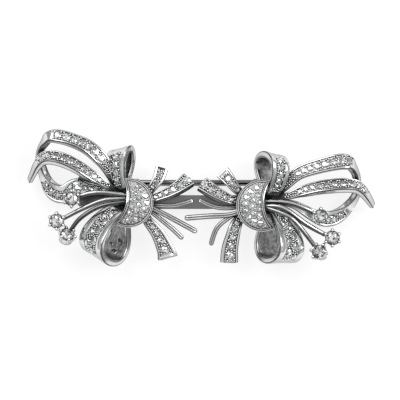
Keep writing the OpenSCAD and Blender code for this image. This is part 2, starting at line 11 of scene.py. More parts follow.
import bmesh
import bpy
import numpy as np
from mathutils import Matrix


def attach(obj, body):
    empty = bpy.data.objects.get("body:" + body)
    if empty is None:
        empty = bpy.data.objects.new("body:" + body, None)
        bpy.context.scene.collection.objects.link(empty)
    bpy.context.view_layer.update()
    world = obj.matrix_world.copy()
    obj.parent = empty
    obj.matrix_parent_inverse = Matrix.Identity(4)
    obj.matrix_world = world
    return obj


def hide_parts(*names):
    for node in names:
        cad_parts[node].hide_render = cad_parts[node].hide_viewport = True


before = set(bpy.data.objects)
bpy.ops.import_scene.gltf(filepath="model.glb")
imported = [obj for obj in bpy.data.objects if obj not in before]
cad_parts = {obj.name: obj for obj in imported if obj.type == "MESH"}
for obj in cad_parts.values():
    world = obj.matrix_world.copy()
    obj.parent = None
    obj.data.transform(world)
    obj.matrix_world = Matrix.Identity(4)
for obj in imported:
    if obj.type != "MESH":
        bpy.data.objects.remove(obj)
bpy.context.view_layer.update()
MM = 0.001

# %% [markdown]
# ## Shader maths as plain sums
# A polished surface needs small variations, and those are sums over noise. Blender writes a sum
# as a Math node. Placing such nodes one by one is slow to read, so one small class wraps a socket
# and turns +, - and * into nodes. Values use Math, vectors use Vector Math and colours use Mix,
# because a Math node would turn a colour grey.

# %% A socket that can be added and multiplied
NAMES = {"+": "ADD", "-": "SUBTRACT", "*": "MULTIPLY"}


class Flow:
    """A socket of a node tree, or the tree itself where socket is None."""

    def __init__(self, tree, socket=None):
        self.tree = tree
        self.socket = socket

    def add(self, kind, inputs=None, out=0, **settings):
        node = self.tree.nodes.new(kind)
        for name, value in settings.items():
            setattr(node, name, value)
        for name, value in (inputs or {}).items():
            if isinstance(value, Flow):
                self.tree.links.new(value.socket, node.inputs[name])
            else:
                node.inputs[name].default_value = value
        return Flow(self.tree, node.outputs[out]) if node.outputs else None

    def pair(self, sign, first, second):
        kinds = [x.socket.type for x in (first, second) if isinstance(x, Flow)]
        if "RGBA" in kinds:
            return self.add("ShaderNodeMix", {0: 1.0, 6: first, 7: second}, 2,
                            data_type="RGBA", blend_type=NAMES[sign])
        if "VECTOR" in kinds:
            return self.add("ShaderNodeVectorMath", {0: first, 1: second}, operation=NAMES[sign])
        return self.add("ShaderNodeMath", {0: first, 1: second}, operation=NAMES[sign])

    def __add__(self, other):
        return self.pair("+", self, other)

    def __radd__(self, other):
        return self.pair("+", other, self)

    def __sub__(self, other):
        return self.pair("-", self, other)

    def __rsub__(self, other):
        return self.pair("-", other, self)

    def __mul__(self, other):
        return self.pair("*", self, other)

    def __rmul__(self, other):
        return self.pair("*", other, self)


def fade(value, low, high):
    """0 below low, 1 above high, and smooth between them."""
    return value.add("ShaderNodeMapRange", {0: value, 1: low, 2: high}, interpolation_type="SMOOTHSTEP")


def noise(flow, where, scale, detail=2.0):
    return flow.add("ShaderNodeTexNoise", {"Vector": where, "Scale": scale, "Detail": detail}, 0)


def measure(flow, name):
    """A number that the mesh carries at each of its corners or faces."""
    return flow.add("ShaderNodeAttribute", out=2, attribute_name=name)


def part_of(flow, vector, axis):
    """The x, y or z (axis 0, 1 or 2) of a vector."""
    return flow.add("ShaderNodeSeparateXYZ", {"Vector": vector}, axis)


def new_flow(thing):
    """The emptied node tree of a material or a world, ready for new nodes."""
    thing.use_nodes = True
    thing.node_tree.nodes.clear()
    return Flow(thing.node_tree)


print("operators:", " ".join(NAMES))

# %% [markdown]
# ## White metal
# The brooch is plated white metal. Its borders are polished like a mirror, with hair-fine wear.
# Its channels keep a rougher skin, because no wheel reaches them, and their grey is partly that skin
# and partly painted shade: the base colour is made darker in corners and trenches, on hidden inner
# faces and near the roots, where shade falls. Faces that turn sideways get painted shade too, which
# draws dark outlines along rounded edges, and an ambient occlusion node paints narrow gaps that open
# to no sky nearly black. The cut edge of each ribbon is painted darker and shows fine marks of the
# rolling across it. One recipe serves all metal, because each mesh carries how deep, how hidden and
# how far along a place is.

# %% Recipe for polished metal
CLOUDS, MOTTLES, SCRATCHES, ROLLING = 420.0, 1500.0, 9000.0, 2.2
SHUT_REACH = 3 * MM
BUMP_HEIGHT = 0.06 * MM


def white_metal(name, light, wear=1.0, marks=0.0):
    """A polished metal. light is its lightness, wear its scratches, marks the strength of rolling marks."""
    material = bpy.data.materials.new(name)
    flow = new_flow(material)
    where = flow.add("ShaderNodeTexCoord", out=3)
    recess, inside = measure(flow, "recess"), measure(flow, "inside")
    cloud = noise(flow, where, CLOUDS)
    grain = noise(flow, where, SCRATCHES, 3.0)
    # Painted shade: the base colour darkens where the recess mark is high, in corners, trenches and grooves
    # and near roots.
    recess_shade = fade(recess + 0.35 * cloud, 0.55, 1.1)
    # Partly the rougher unpolished skin, partly painted shade: hidden inner faces, undersides and roots are
    # darker.
    dull_and_shade = fade(inside + 0.3 * cloud, 0.45, 1.0)
    side = measure(flow, "side")
    # Painted shade: ambient occlusion darkens the base colour in narrow gaps.
    open_sky = flow.add("ShaderNodeAmbientOcclusion", {"Distance": SHUT_REACH}, 1, samples=8)
    occlusion_shade = fade(1.0 - open_sky, 0.3, 0.85)
    # Painted shade: faces that turn sideways are darker, which draws dark outlines along rounded edges.
    slope = part_of(flow, flow.add("ShaderNodeNewGeometry", out=1), 2)
    steep = flow.add("ShaderNodeMath", {0: slope}, operation="ABSOLUTE")
    sideways_shade = 0.34 + 0.66 * fade(steep, 0.1, 0.8)
    mottle = fade(noise(flow, where, MOTTLES, 4.0), 0.3, 0.7)
    # The side mark paints cut edges and wire flanks darker, as shade.
    tone_and_shade = (1.0 - 0.86 * recess_shade) * (1.0 - dull_and_shade * (0.72 - 0.42 * mottle)) * (1.0 - 0.8 * side)
    shade = light * sideways_shade * tone_and_shade * (1.0 - 0.93 * occlusion_shade * (1.0 - 0.85 * inside))
    tint = flow.add("ShaderNodeCombineColor", {0: shade * 0.99, 1: shade * 0.995, 2: shade})
    rough = 0.15 + 0.06 * wear * cloud + 0.25 * recess_shade + 0.3 * dull_and_shade
    along, across = measure(flow, "along"), measure(flow, "across")
    lines = flow.add("ShaderNodeCombineXYZ", {0: along, 1: across * 0.1})
    rolled = noise(flow, lines, ROLLING, 2.0)
    height = grain * 0.16 * wear + rolled * side * marks
    bump = flow.add("ShaderNodeBump", {"Height": height, "Strength": 0.35, "Distance": BUMP_HEIGHT})
    shader = flow.add("ShaderNodeBsdfPrincipled",
                      {"Base Color": tint, "Metallic": 1.0, "Roughness": rough, "Normal": bump})
    flow.add("ShaderNodeOutputMaterial", {"Surface": shader})
    return material


ribbon_metal = white_metal("ribbon_white_metal", 0.84, marks=0.5)
wire_metal = white_metal("drawn_wire_metal", 0.74, wear=1.3)
knot_metal = white_metal("knot_white_metal", 0.92, wear=0.8)
bead_metal = white_metal("raised_grain_metal", 0.82, wear=0.6)
claw_metal = white_metal("claw_metal", 0.84, wear=0.7)
# The frame is of the same white metal: its low lightness paints the shade that it lies in under the sprays.
frame_metal = white_metal("shaded_back_frame_metal", 0.24, wear=1.6)
print("metals:", [m.name for m in bpy.data.materials if "metal" in m.name])

# %% [markdown]
# ## Stones
# A round brilliant shows a patchwork of light and dark, because each facet mirrors another part of
# the room, once outside and again from within. Real refraction in 137 stones of 1 to 3 mm would be
# slow and grainy. So every facet is a flat mirror, and the mesh gives it a tint of its own: painted
# light, as bright as the light that comes back through a real stone. A texture of small cells paints
# more sparkle and breaks the facets up once more.

# %% Recipe for cut stones
FLECKS, CELLS = 2600.0, 3600.0


def stone_finish():
    material = bpy.data.materials.new("clear_cut_stone")
    flow = new_flow(material)
    tint = measure(flow, "tint")
    where = flow.add("ShaderNodeTexCoord", out=3)
    fleck = noise(flow, where, FLECKS, 1.0)
    cells = flow.add("ShaderNodeTexVoronoi", {"Vector": where, "Scale": CELLS}, 1)
    spark = fade(flow.add("ShaderNodeSeparateColor", {0: cells}, 0), 0.12, 0.42)
    # Painted light: the facet tints and the bright cells stand for the light that a real stone sends back.
    shade = tint * (0.42 + 0.58 * spark) * (0.9 + 0.2 * fleck)
    colour = flow.add("ShaderNodeCombineColor", {0: shade * 0.98, 1: shade * 0.99, 2: shade})
    rough = 0.02 + 0.04 * fleck
    shader = flow.add("ShaderNodeBsdfPrincipled", {
        "Base Color": colour, "Metallic": 0.82, "Roughness": rough, "IOR": 2.0,
        "Coat Weight": 0.6, "Coat Roughness": 0.02})
    flow.add("ShaderNodeOutputMaterial", {"Surface": shader})
    return material


stone_material = stone_finish()
print("stone finish:", stone_material.name)

# %% [markdown]
# ## The tables of the design
# A bent ribbon is easiest to state as a table: where its middle lies, how wide it is and how far it
# banks. These are the numbers of the CAD source in millimetres and degrees, so that each dressed
# piece keeps the form and the place of its solid. The columns are:
#
# - ribbon (loop, strap and tails): x, y, z, width, bank, and where it isn't plain its left and right
#   border
# - curl: x, y, z of its root, reach, height, heading, lean, width at the root, width at the tip, skew.
#   It is a drop-shaped loop. A lean above 0 tips its top to the left of its heading, and a skew above 0
#   carries its right edge further along the heading.
# - wire: x, y, z, radius
# - setting: x, y, z of its foot, lean, direction of the lean, radius of the foot
# - knot, a disc with a round bite: x, y, radius, then x, y, radius of the bite
# - row of stones: first place, last place, stones, first diameter, last diameter, and 1 for a zigzag
# - seam and the stems' painted shade: where the groove of the stems runs, in degrees round them, and
#   how much painted shade each stem gets, for the shade that the others cast on it

# %% Tables of the two sprays
BORDER = 0.36


def band(*rows):
    """The table of a ribbon, with plain borders in each row that leaves them out."""
    return [[*row, BORDER, BORDER][:7] for row in rows]


SPRAYS = {
    "left": {
        "loop": band(
            [-17.4, 1.0, 5.4, 1.8, 0], [-19.5, 5.45, 6.3, 2.5, 10, 0.36, 0.4],
            [-21.4, 8.45, 7.3, 3.1, 22, 0.36, 0.45], [-24.15, 11, 8, 3.2, 28, 0.36, 0.45],
            [-27.5, 12.5, 8.4, 2.95, 28, 0.36, 0.4], [-30.8, 13.3, 8.1, 2.9, 24],
            [-32.95, 13.15, 7.3, 2.5, 34], [-34.15, 11.95, 6.3, 2.4, 62], [-35.15, 10.3, 5.2, 2.3, 74],
            [-35.5, 8.4, 4.2, 2.4, 74], [-35.1, 6.3, 3.5, 2.6, 66],
            [-34.4, 4.2, 3.1, 2.7, 56, 0.5, 0.36], [-33.3, 2.2, 3.0, 3.2, 34, 0.8, 0.5],
            [-31.6, 0.9, 3.2, 3.8, 12, 1.2, 0.6], [-29.4, 0.7, 3.5, 4.0, 2, 1.2, 0.6],
            [-26.9, 2.1, 4, 4.2, -12, 0.6, 0.6], [-24.2, 1.9, 4.3, 3.1, -20, 0.4, 0.4],
            [-21.4, 1.5, 4.5, 1.9, -8], [-18.9, 0.7, 4.4, 1.4, 0], [-17.0, -0.3, 4.2, 1.3, 0],
        ),
        "strap": band(
            [-17.6, 0.9, 5.6, 1.2, 0], [-20.0, 2.5, 6.8, 1.5, 5], [-21.9, 3.8, 7.6, 2.0, 12],
            [-23.9, 5.2, 8.2, 2.5, 26], [-26.2, 6.8, 8.6, 2.85, 34],
            [-29.2, 8.3, 8.7, 3.15, 39, 0.36, 0.4], [-32.2, 9, 8.4, 3.2, 42, 0.36, 0.4],
            [-34.3, 8.5, 7.8, 2.9, 46], [-35.65, 6.95, 6.6, 2.2, 52], [-36.6, 5.15, 5, 1.8, 54],
            [-37.5, 3.55, 3.2, 1.6, 52],
        ),
        "tails": [
            band(
                [-12.3, -0.4, 6.3, 1.2, 0, 0.3, 0.3], [-10.45, 2.1, 6.5, 1.9, 0],
                [-9.15, 4.1, 6.3, 2.5, 0, 0.5, 0.5], [-8.4, 6.5, 5.6, 2.8, 0, 0.5, 0.5],
            ),
            band(
                [-12.5, -1.0, 6.2, 1.4, 0, 0.3, 0.3], [-10.3, -0.1, 6.6, 1.9, -20, 0.3, 0.3],
                [-6.8, 1.3, 6.7, 2.5, -25], [-4.2, 2.9, 6.3, 3.1, -25], [-2.6, 4.2, 5.8, 3.6, -22],
            ),
            band(
                [-12.6, -2.4, 6.2, 1.6, 0, 0.36, 0.3], [-11.4, -5.0, 6.5, 2.2, -8, 0.5, 0.36],
                [-9.2, -7.9, 6.4, 2.9, -8, 0.6, 0.4], [-7.6, -11.3, 5.8, 3.7, -8, 0.7, 0.4],
                [-7.1, -13.2, 5.3, 4.4, -6, 0.7, 0.4],
            ),
        ],
        "curls": {
            "upper": [-17.4, 0.9, 5.9, 9.7, 3.9, 89, 38, 2.4, 6.0, -0.2],
            "lower": [-17.25, -1.6, 5.81, 12.6, 9.2, 247, -40, 3.4, 7.9, 0.1],
        },
        "tail_wires": [
            [[-12.3, -1.6, 5.2, 0.5], [-9.0, -1.8, 5.3, 0.5],
             [-5.6, -1.8, 5.2, 0.5], [-1.7, -0.7, 4.9, 0.5]],
            [[-12.3, -1.6, 5.9, 0.5], [-9.8, -2.7, 6.0, 0.55],
             [-5.2, -5.1, 5.7, 0.6], [-0.9, -7.5, 5.2, 0.6]],
            [[-12.4, -2.0, 5.5, 0.5], [-9.9, -3.8, 5.6, 0.5],
             [-6.3, -6.7, 5.3, 0.55], [-3.9, -9.0, 4.8, 0.55]],
        ],
        "stem_wires": [
            [[-15.3, 0.3, 7.0, 0.44], [-20.6, 1.0, 7.1, 0.48],
             [-24.0, 0.8, 7.0, 0.5], [-27.35, -0.2, 6.4, 0.46]],
            [[-15.3, -0.3, 7.0, 0.44], [-20.6, -0.6, 7.0, 0.52],
             [-25.5, -2.5, 6.9, 0.5], [-30.42, -5.05, 6.12, 0.46]],
            [[-15.3, -0.9, 6.8, 0.44], [-21.4, -1.9, 6.9, 0.5],
             [-26.0, -4.6, 6.55, 0.5], [-28.65, -8.15, 5.3, 0.46]],
        ],
        "settings": [
            [-27.5, -0.3, 5.9, 5, 180, 1],
            [-30.7, -5.1, 5.6, 5, 180, 1],
            [-29.15, -9.2, 5.6, 41, 67, 1.45],
        ],
        "knot": [-15.5, -1.2, 5.3, -23.1, 0.3, 7.3],
        "rows": {"upper": [1.95, 4.95, 7, 1.55, 1.75], "middle": [1.9, 7.2, 10, 1.05, 1.7],
                 "lower": [11.9, 16.6, 9, 1.4, 1.2]},
        "curl_rows": {"upper": [62, 128, 4, 1.4, 1.85, 0], "lower": [55, 143, 9, 1.3, 1.8, 1]},
        "tail_rows": [[1.0, 2.3, 3, 1.0, 1.4], [1.1, 3.6, 6, 0.95, 1.7], [1.1, 3.0, 5, 1.0, 1.7]],
        "ribbon_root": (-16.3, -0.6), "tail_root": (-12.2, -1.5), "stem_root": (-15.3, -0.3),
        "seam": 58, "stem_shade": (0, 0.3, 0.85),
    },
    "right": {
        "loop": band(
            [15.8, 0.4, 5.4, 1.8, 0], [18.0, 2.6, 6.3, 2.2, -6], [21.0, 5.3, 7.2, 2.8, -12],
            [25.4, 6.8, 8.0, 3.1, -12, 0.36, 0.4], [29.7, 7.7, 8.3, 3.4, -12, 0.36, 0.5],
            [31.9, 7.6, 7.6, 3.1, -28, 0.36, 0.5], [33.05, 6.5, 6.5, 2.4, -58, 0.36, 0.4],
            [33.95, 4.6, 5.2, 2.4, -70], [34.2, 2.4, 4.1, 2.4, -72], [33.9, 0.2, 3.4, 2.4, -68],
            [32.8, -1.7, 3.1, 2.5, -56], [31, -3.5, 3, 2.8, -32, 0.6, 0.7],
            [28.8, -4.5, 3.2, 3.2, -10, 0.6, 0.8], [26.4, -4.75, 3.5, 3.2, -2, 0.6, 0.8],
            [23.8, -3.7, 4.1, 2.6, 0, 0.5, 0.5], [20.4, -1.8, 4.6, 1.9, 0], [17.4, -1, 4.45, 1.5, 0],
            [15.4, -1, 4.3, 1.4, 0],
        ),
        "strap": band(
            [15.8, 0.0, 5.6, 1.2, 0], [18.4, 0.3, 6.8, 1.6, -8], [21.4, 1.4, 7.8, 2.3, -24],
            [24.5, 2.3, 8.3, 2.8, -32], [27.7, 2.8, 8.6, 3.1, -38, 0.4, 0.36],
            [30.9, 3, 8.5, 3.2, -40, 0.4, 0.36], [33.3, 2.7, 7.9, 3, -42, 0.4, 0.36],
            [34.95, 1.65, 6.8, 2.6, -46], [36.3, -0.05, 5.2, 2.1, -50], [37.45, -1.9, 3.3, 1.6, -50],
        ),
        "tails": [
            band(
                [9.9, -0.3, 6.3, 1.3, 0, 0.3, 0.3], [7.6, 1.7, 6.5, 2.0, 0, 0.3, 0.3],
                [6.1, 3.6, 6.3, 2.6, 0], [4.4, 5.6, 5.6, 3.2, 0],
            ),
            band(
                [9.7, -1.2, 6.2, 1.4, 0, 0.3, 0.3], [6.9, -0.6, 6.6, 2.0, 20, 0.3, 0.3],
                [4.3, 0.5, 6.7, 2.7, 25], [2.0, 1.9, 6.3, 3.1, 25], [0.1, 3.2, 5.8, 3.4, 22],
            ),
            band(
                [9.4, -3.0, 6.2, 1.6, 0], [7.6, -5.6, 6.5, 2.5, 0, 0.4, 0.5],
                [6.7, -8.5, 6.4, 3.1, 0, 0.5, 0.7], [6.1, -11.4, 5.8, 3.6, 0, 0.5, 0.8],
                [6.0, -14.2, 5.1, 3.9, 0, 0.5, 0.8],
            ),
        ],
        "curls": {
            "upper": [15.0, -0.3, 5.9, 9.8, 7.9, 89, -30, 2.6, 4.8, 0.18],
            "lower": [16.0, -2.2, 5.55, 12.05, 8.8, 275, 39, 3.4, 7.5, 0.07],
        },
        "tail_wires": [
            [[9.9, -1.6, 5.2, 0.5], [6.4, -2.3, 5.3, 0.5], [3.0, -2.1, 5.2, 0.5], [-0.6, -0.6, 4.9, 0.5]],
            [[9.8, -2.6, 6.1, 0.5], [6.0, -3.8, 6.0, 0.55], [1.5, -4.1, 5.7, 0.6], [-3.6, -4.5, 5.2, 0.6]],
            [[9.6, -2.4, 5.5, 0.5], [6.4, -4.1, 5.6, 0.5], [3.4, -6.6, 5.3, 0.55], [2.0, -10.4, 4.8, 0.55]],
        ],
        "stem_wires": [
            [[12.9, -0.9, 7.0, 0.44], [18.6, -1.2, 7.1, 0.56],
             [22.4, -2.5, 7.0, 0.56], [25.2, -4.0, 6.4, 0.46]],
            [[12.9, -1.9, 7.1, 0.44], [17.4, -2.3, 7.8, 0.58],
             [22.5, -5.8, 7.4, 0.6], [27.6, -8.6, 6.1, 0.46]],
            [[13.1, -2.0, 7.0, 0.44], [18.8, -4.2, 8.2, 0.5],
             [22.4, -8.0, 7.3, 0.5], [25.1, -11.6, 5.4, 0.46]],
        ],
        "settings": [
            [25.3, -4.1, 5.9, 5, 0, 1],
            [27.8, -8.7, 5.6, 5, 0, 1],
            [26.0, -12.35, 5.5, 35, 140, 1.34],
        ],
        "knot": [13.0, -1.8, 5.55, 21.4, -1.0, 8.05],
        "rows": {"upper": [1.9, 4.8, 8, 1.25, 1.8], "middle": [1.85, 7.1, 10, 1.1, 1.65],
                 "lower": [11.4, 12.95, 3, 1.3, 1.6]},
        "curl_rows": {"upper": [60, 134, 5, 1.2, 1.7, 0], "lower": [55, 144, 9, 1.25, 1.75, 1]},
        "tail_rows": [[0.9, 2.2, 3, 1.05, 1.65], [1.1, 3.6, 5, 1.15, 1.75], [1.0, 3.4, 5, 1.15, 1.85]],
        "ribbon_root": (13.7, -1.0), "tail_root": (9.6, -2.0), "stem_root": (12.9, -1.4),
        "seam": 122, "stem_shade": (0, 0, 0.2),
    },
}

# Rings of stones on a knot. Columns: radius, stones, half of their spread, stone diameter
KNOT_STONES = [[4.0, 8, 78, 1.35], [2.5, 5, 70, 1.3], [1.15, 2, 42, 1.2]]
print("sprays:", {side: list(tables) for side, tables in SPRAYS.items()})

# %% [markdown]
# ## A smooth line through a table
# The rows of a table are joined by a Catmull-Rom curve, which passes through every row. At each
# place on it a section has a middle, a direction across the ribbon and one out of its face, so
# that a flat profile can be laid there. The curls are drop-shaped loops that a formula gives.

# %% Sections along ribbons, wires and curls
WIDTH, BANK, LEFT, RIGHT = 3, 4, 5, 6
RIBBON_T, FULL_W, RIBBON_FLANK = 1.5, 2.6, 0.12
CURL_T, CURL_SWELL, CURL_CHANNEL_SHARE, CURL_START, CURL_FLANK = 1.05, 0.45, 0.5, 24, 0.06
CURL_RISE = 0.65


def mix(a, b, share):
    return a + (b - a) * share


def unit(v):
    return v / np.linalg.norm(v)


def gap(a, b):
    return float(np.linalg.norm(np.subtract(a, b)))


def cos(a):
    return math.cos(math.radians(a))


def sin(a):
    return math.sin(math.radians(a))


def angle_to(start, end):
    return math.degrees(math.atan2(end[1] - start[1], end[0] - start[0]))


def row_at(rows, place):
    """A row between two rows of a table, on a smooth curve through them all."""
    last = len(rows) - 1
    i = min(int(place), last - 1)
    t = place - i
    a, b, c, d = (np.array(rows[k], float) for k in (max(i - 1, 0), i, i + 1, min(i + 2, last)))
    return b + (t / 2) * ((c - a) + t * ((2 * a - 5 * b + 4 * c - d) + t * (3 * (b - c) + d - a)))


def direction_at(rows, place):
    step, last = 0.05, len(rows) - 1
    return unit(row_at(rows, min(place + step, last))[:3] - row_at(rows, max(place - step, 0))[:3])


def level_at(rows, place):
    """The row at a place, the direction along it there and the level one across it."""
    row, along = row_at(rows, place), direction_at(rows, place)
    return row, along, unit(np.array([-along[1], along[0], 0]))


def strap_section(rows, place):
    row, along, level = level_at(rows, place)
    across = cos(row[BANK]) * level + sin(row[BANK]) * np.cross(along, level)
    return {"at": row[:3], "across": across, "out": np.cross(along, across), "width": row[WIDTH],
            "left": row[LEFT], "right": row[RIGHT], "flank": RIBBON_FLANK,
            "thick": RIBBON_T * max(0.5, min(1, row[WIDTH] / FULL_W))}


def wire_section(rows, place):
    row, along, level = level_at(rows, place)
    return {"at": row[:3], "across": level, "out": np.cross(along, level), "r": row[3]}


def curl_axes(curl):
    heading, lean, skew = curl[5], curl[6], curl[9]
    along = np.array([cos(heading), sin(heading), 0])
    left = np.array([-along[1], along[0], 0])
    up = np.array([0, 0, cos(lean)]) + sin(lean) * left
    return along, up, unit(np.cross(up, along) + skew * along)


def curl_rise(curl, turn):
    return CURL_RISE * curl[4] * sin(turn) * sin(turn / 2)


def curl_point(curl, turn):
    along, up, _ = curl_axes(curl)
    return np.array(curl[:3]) + along * (curl[3] * (1 - cos(turn)) / 2) + up * curl_rise(curl, turn)


def curl_section(curl, turn):
    across = curl_axes(curl)[2]
    along = unit(curl_point(curl, turn + 1) - curl_point(curl, turn - 1))
    width = mix(curl[7], curl[8], sin(turn / 2))
    border = (1 - CURL_CHANNEL_SHARE) / 2 * width
    tip = CURL_T * (1 + CURL_SWELL * sin(turn / 2) ** 8)
    near_tip = abs(cos(turn / 2)) < 0.6
    thick = tip if near_tip else min(CURL_T, 0.8 * abs(curl_rise(curl, turn)))
    return {"at": curl_point(curl, turn), "across": across, "out": unit(np.cross(along, across)),
            "width": width, "left": border, "right": border, "thick": thick, "flank": CURL_FLANK}


print("left loop starts at", row_at(SPRAYS["left"]["loop"], 0)[:3])

# %% [markdown]
# ## From points to a piece
# A piece is a closed mesh with numbers on its corners, which its metal reads: recess is 1 at the
# bottom of a channel, inside is 1 on a hidden inner face, side is 1 on a cut edge, and along and
# across are millimetres. One function makes the object, gives it its metal, shades it smooth up to
# an angle, ties it to the root body and hides the solid that it stands for.

# %% Make a piece of the model
MARKS = ("recess", "inside", "side", "along", "across")
made = []


def new_object(name, points, faces):
    """An object whose mesh has these points, in millimetres, and faces that look outwards."""
    mesh = bpy.data.meshes.new(name)
    mesh.from_pydata([tuple(float(c) * MM for c in p) for p in points], [], faces)
    shell = bmesh.new()
    shell.from_mesh(mesh)
    bmesh.ops.recalc_face_normals(shell, faces=shell.faces)
    shell.to_mesh(mesh)
    shell.free()
    thing = bpy.data.objects.new(name, mesh)
    bpy.context.scene.collection.objects.link(thing)
    return thing


# recess, inside and side also set painted shade: the higher they are, the darker the metal's base colour.
def write_marks(mesh, rows):
    """Gives each corner of a mesh its row of numbers, one for each of MARKS."""
    for mark, column in zip(MARKS, np.array(rows, float).T.tolist()):
        mesh.attributes.new(mark, "FLOAT", "POINT").data.foreach_set("value", column)


def make_piece(name, points, faces, finish, slot, nodes, marks=None, sharp=35, facet_light=None):
    piece = new_object(name, points, faces)
    if marks is not None:
        write_marks(piece.data, marks)
    if facet_light is not None:
        piece.data.attributes.new("tint", "FLOAT", "FACE").data.foreach_set("value", facet_light)
    finish_piece(piece, finish, slot, nodes, sharp)


def finish_piece(piece, finish, slot, nodes, sharp=35):
    mesh = piece.data
    mesh.materials.clear()
    mesh.materials.append(finish)
    mesh.polygons.foreach_set("use_smooth", [sharp > 0] * len(mesh.polygons))
    if sharp:
        mesh.set_sharp_from_angle(angle=math.radians(sharp))
    mesh.update()
    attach(piece, "root")
    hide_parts(*nodes)
    made.append((piece.name, len(mesh.polygons)))


def skin(rings, last_cap=True):
    """Points and faces of a tube through rings that all have the same number of points."""
    n = len(rings[0])
    points = [p for ring in rings for p in ring]
    faces = []
    for a in range(0, len(points) - n, n):
        faces += [(a + j, a + (j + 1) % n, a + n + (j + 1) % n, a + n + j) for j in range(n)]
    faces.append(tuple(range(n)))
    if last_cap:
        faces.append(tuple(len(points) - n + j for j in reversed(range(n))))
    return points, faces


def circle(at, u, v, r, count, start=0):
    """Points round at, in the plane of u and v."""
    turns = [start + 360 * i / count for i in range(count)]
    return [at + r * (cos(a) * u + sin(a) * v) for a in turns]


def spun(profile, at, u, w, count):
    """Rings round the axis w through at. Each row of the profile starts with a radius and a height."""
    v = np.cross(w, u)
    return [circle(at + row[1] * w, u, v, row[0], count) for row in profile]


def gather(parts):
    """One list of points, faces and marks or painted facet light from the lists of many small parts."""
    points, faces, rest = [], [], []
    for part in parts:
        start = len(points)
        points += part[0]
        faces += [tuple(i + start for i in f) for f in part[1]]
        rest += part[2]
    return points, faces, rest


print("marks on the metal:", MARKS)

# %% [markdown]
# ## The profile of a ribbon
# The real ribbon is a rolled strip, milled along its middle for the stones. Its back is hollowed and
# has round corners, its cut edges show a thin seam, and its two borders are slightly crowned and
# polished. The profile is drawn once as corners from the back round to the front, and each section
# scales it.

# %% Profile of a ribbon with a channel
# Depths of a bare stretch, of a channel and of the hollow back
GROOVE, CHANNEL, HOLLOW = 0.05, 0.17, 0.13
# Radii of the back's corners and of the cut edges, then widths of the polished rim, of the trench
# along each wall of the channel, which is painted dark with shade, and of the ledge round the hollow back
BACK_R, EDGE_R, RIM, TRENCH, BACK_EDGE = 0.3, 0.28, 0.3, 0.13, 0.5


def ribbon_profile(s, depth):
    """Corners (across, out, recess, inside, side) of a section: back, left edge, face, right edge."""
    h, t = s["width"] / 2, s["thick"]
    back, edge = min(BACK_R, 0.3 * t), min(EDGE_R, 0.22 * t)
    deep = min(1, depth / CHANNEL)
    middle = (s["right"] - s["left"]) / 2

    def half(border, sign):
        rim = min(RIM, border * 0.5)
        inner = h - border
        wall = 1.5 * depth if depth > GROOVE else depth
        trench = inner - min(TRENCH, 0.25 * abs(inner - sign * middle))
        hollow = max(0.4 * (h - back), h - back - BACK_EDGE)
        corners = [(hollow - 0.09, -t + HOLLOW, 0.2, 1, 0), (hollow - 0.06, -t + HOLLOW, 0.9, 0.3, 0),
                   (hollow, -t, 0, 0.2, 0)]
        corners += [(h - back + back * cos(a), -t + back + back * sin(a), 0, 0.4 if a < -50 else 0.3,
                     0.9 if a > -50 else 0.2) for a in (-90, -60, -30, 0)]
        corners += [(h + 0.01, -0.6 * t, 0, 0, s["flank"]), (h, -edge - 0.08, 0, 0, s["flank"])]
        # Painted shade: the outer part of each rounded edge is marked as side, and so painted dark as an
        # outline.
        corners += [(h - edge + edge * cos(a), -edge + edge * sin(a), 0, 0, 1.0 if a < 65 else 0)
                    for a in (0, 30, 55, 72, 90)]
        corners += [(h - rim, 0.02, 0, 0, 0), (mix(h - rim, inner, 0.6), 0.03, 0, 0, 0),
                    (inner + 0.05, 0.0, 0.0, 0, 0), (inner, -0.1 * depth, 0.9 * deep, 0, 0),
                    (inner - 0.02, -wall, deep, 0, 0), (trench, -wall, deep, 0, 0),
                    (trench - 0.05, -depth, 0.2 * deep, 0.6 * deep, 0),
                    (mix(trench - 0.05, sign * middle, 0.5), -depth, 0, 0.6 * deep, 0)]
        return [(sign * c[0], *c[1:]) for c in corners]

    left, right = half(s["left"], 1), half(s["right"], -1)
    return left + [(middle, -depth, 0, 0.6 * deep, 0)] + right[::-1] + [(0, -t + HOLLOW, 0, 1, 0)]


def depth_at(place, row, before, after, fade_over):
    """How deep the channel is: it fades out some way before the first stone and after the last."""
    inside = min(place - (row[0] - before), (row[1] + after) - place) / fade_over
    return max(GROOVE, min(CHANNEL, CHANNEL * inside))


def sweep(sections, depths, shades):
    """Rings and marks of a profile laid at each section. shades is the painted shadow near a root."""
    rings, marks, way, last = [], [], 0.0, sections[0]["at"]
    for s, depth, shade in zip(sections, depths, shades):
        profile = ribbon_profile(s, depth)
        way += gap(s["at"], last)
        last = s["at"]
        rings.append([s["at"] + c[0] * s["across"] + c[1] * s["out"] for c in profile])
        # Painted shadow near a root: it raises recess and inside, which darken the metal.
        marks += [(max(c[2], 0.9 * shade), max(c[3], shade), c[4], way, c[0] + c[1]) for c in profile]
    return rings, marks


print("corners in a profile:", len(ribbon_profile(strap_section(SPRAYS["left"]["loop"], 3), CHANNEL)))

# %% [markdown]
# ## Loops, straps and curls
# Each spray has a big ribbon loop, one strap that runs free past it, and two curls that roll up and
# back over themselves. Bending a modelled strip with a modifier would stretch its profile, so the
# profile is laid at many places of the curve instead, ten to a table row.

# %% Sweep the ribbons
NOSE, TAIL_NOSE, NOTCH, NOTCH_REACH = 0.55, 0.15, 0.85, 1.6
# How far a channel runs past its stones and fades out, and how far a root's shadow reaches,
# in rows of the table and for a curl in degrees of its turn
LEAD, LONG_LEAD, FADE, ROOT_SHADE = 0.6, 1.2, 0.12, 1.7
CURL_LEAD, CURL_FADE, CURL_SHADE = 14, 5, 13
# A row of stones that starts before this row of the table has the long lead
NEAR_KNOT = 2.5
ROW_STEPS, CURL_STEPS = 10, 120


def limit(value):
    return max(0.0, min(1.0, value))


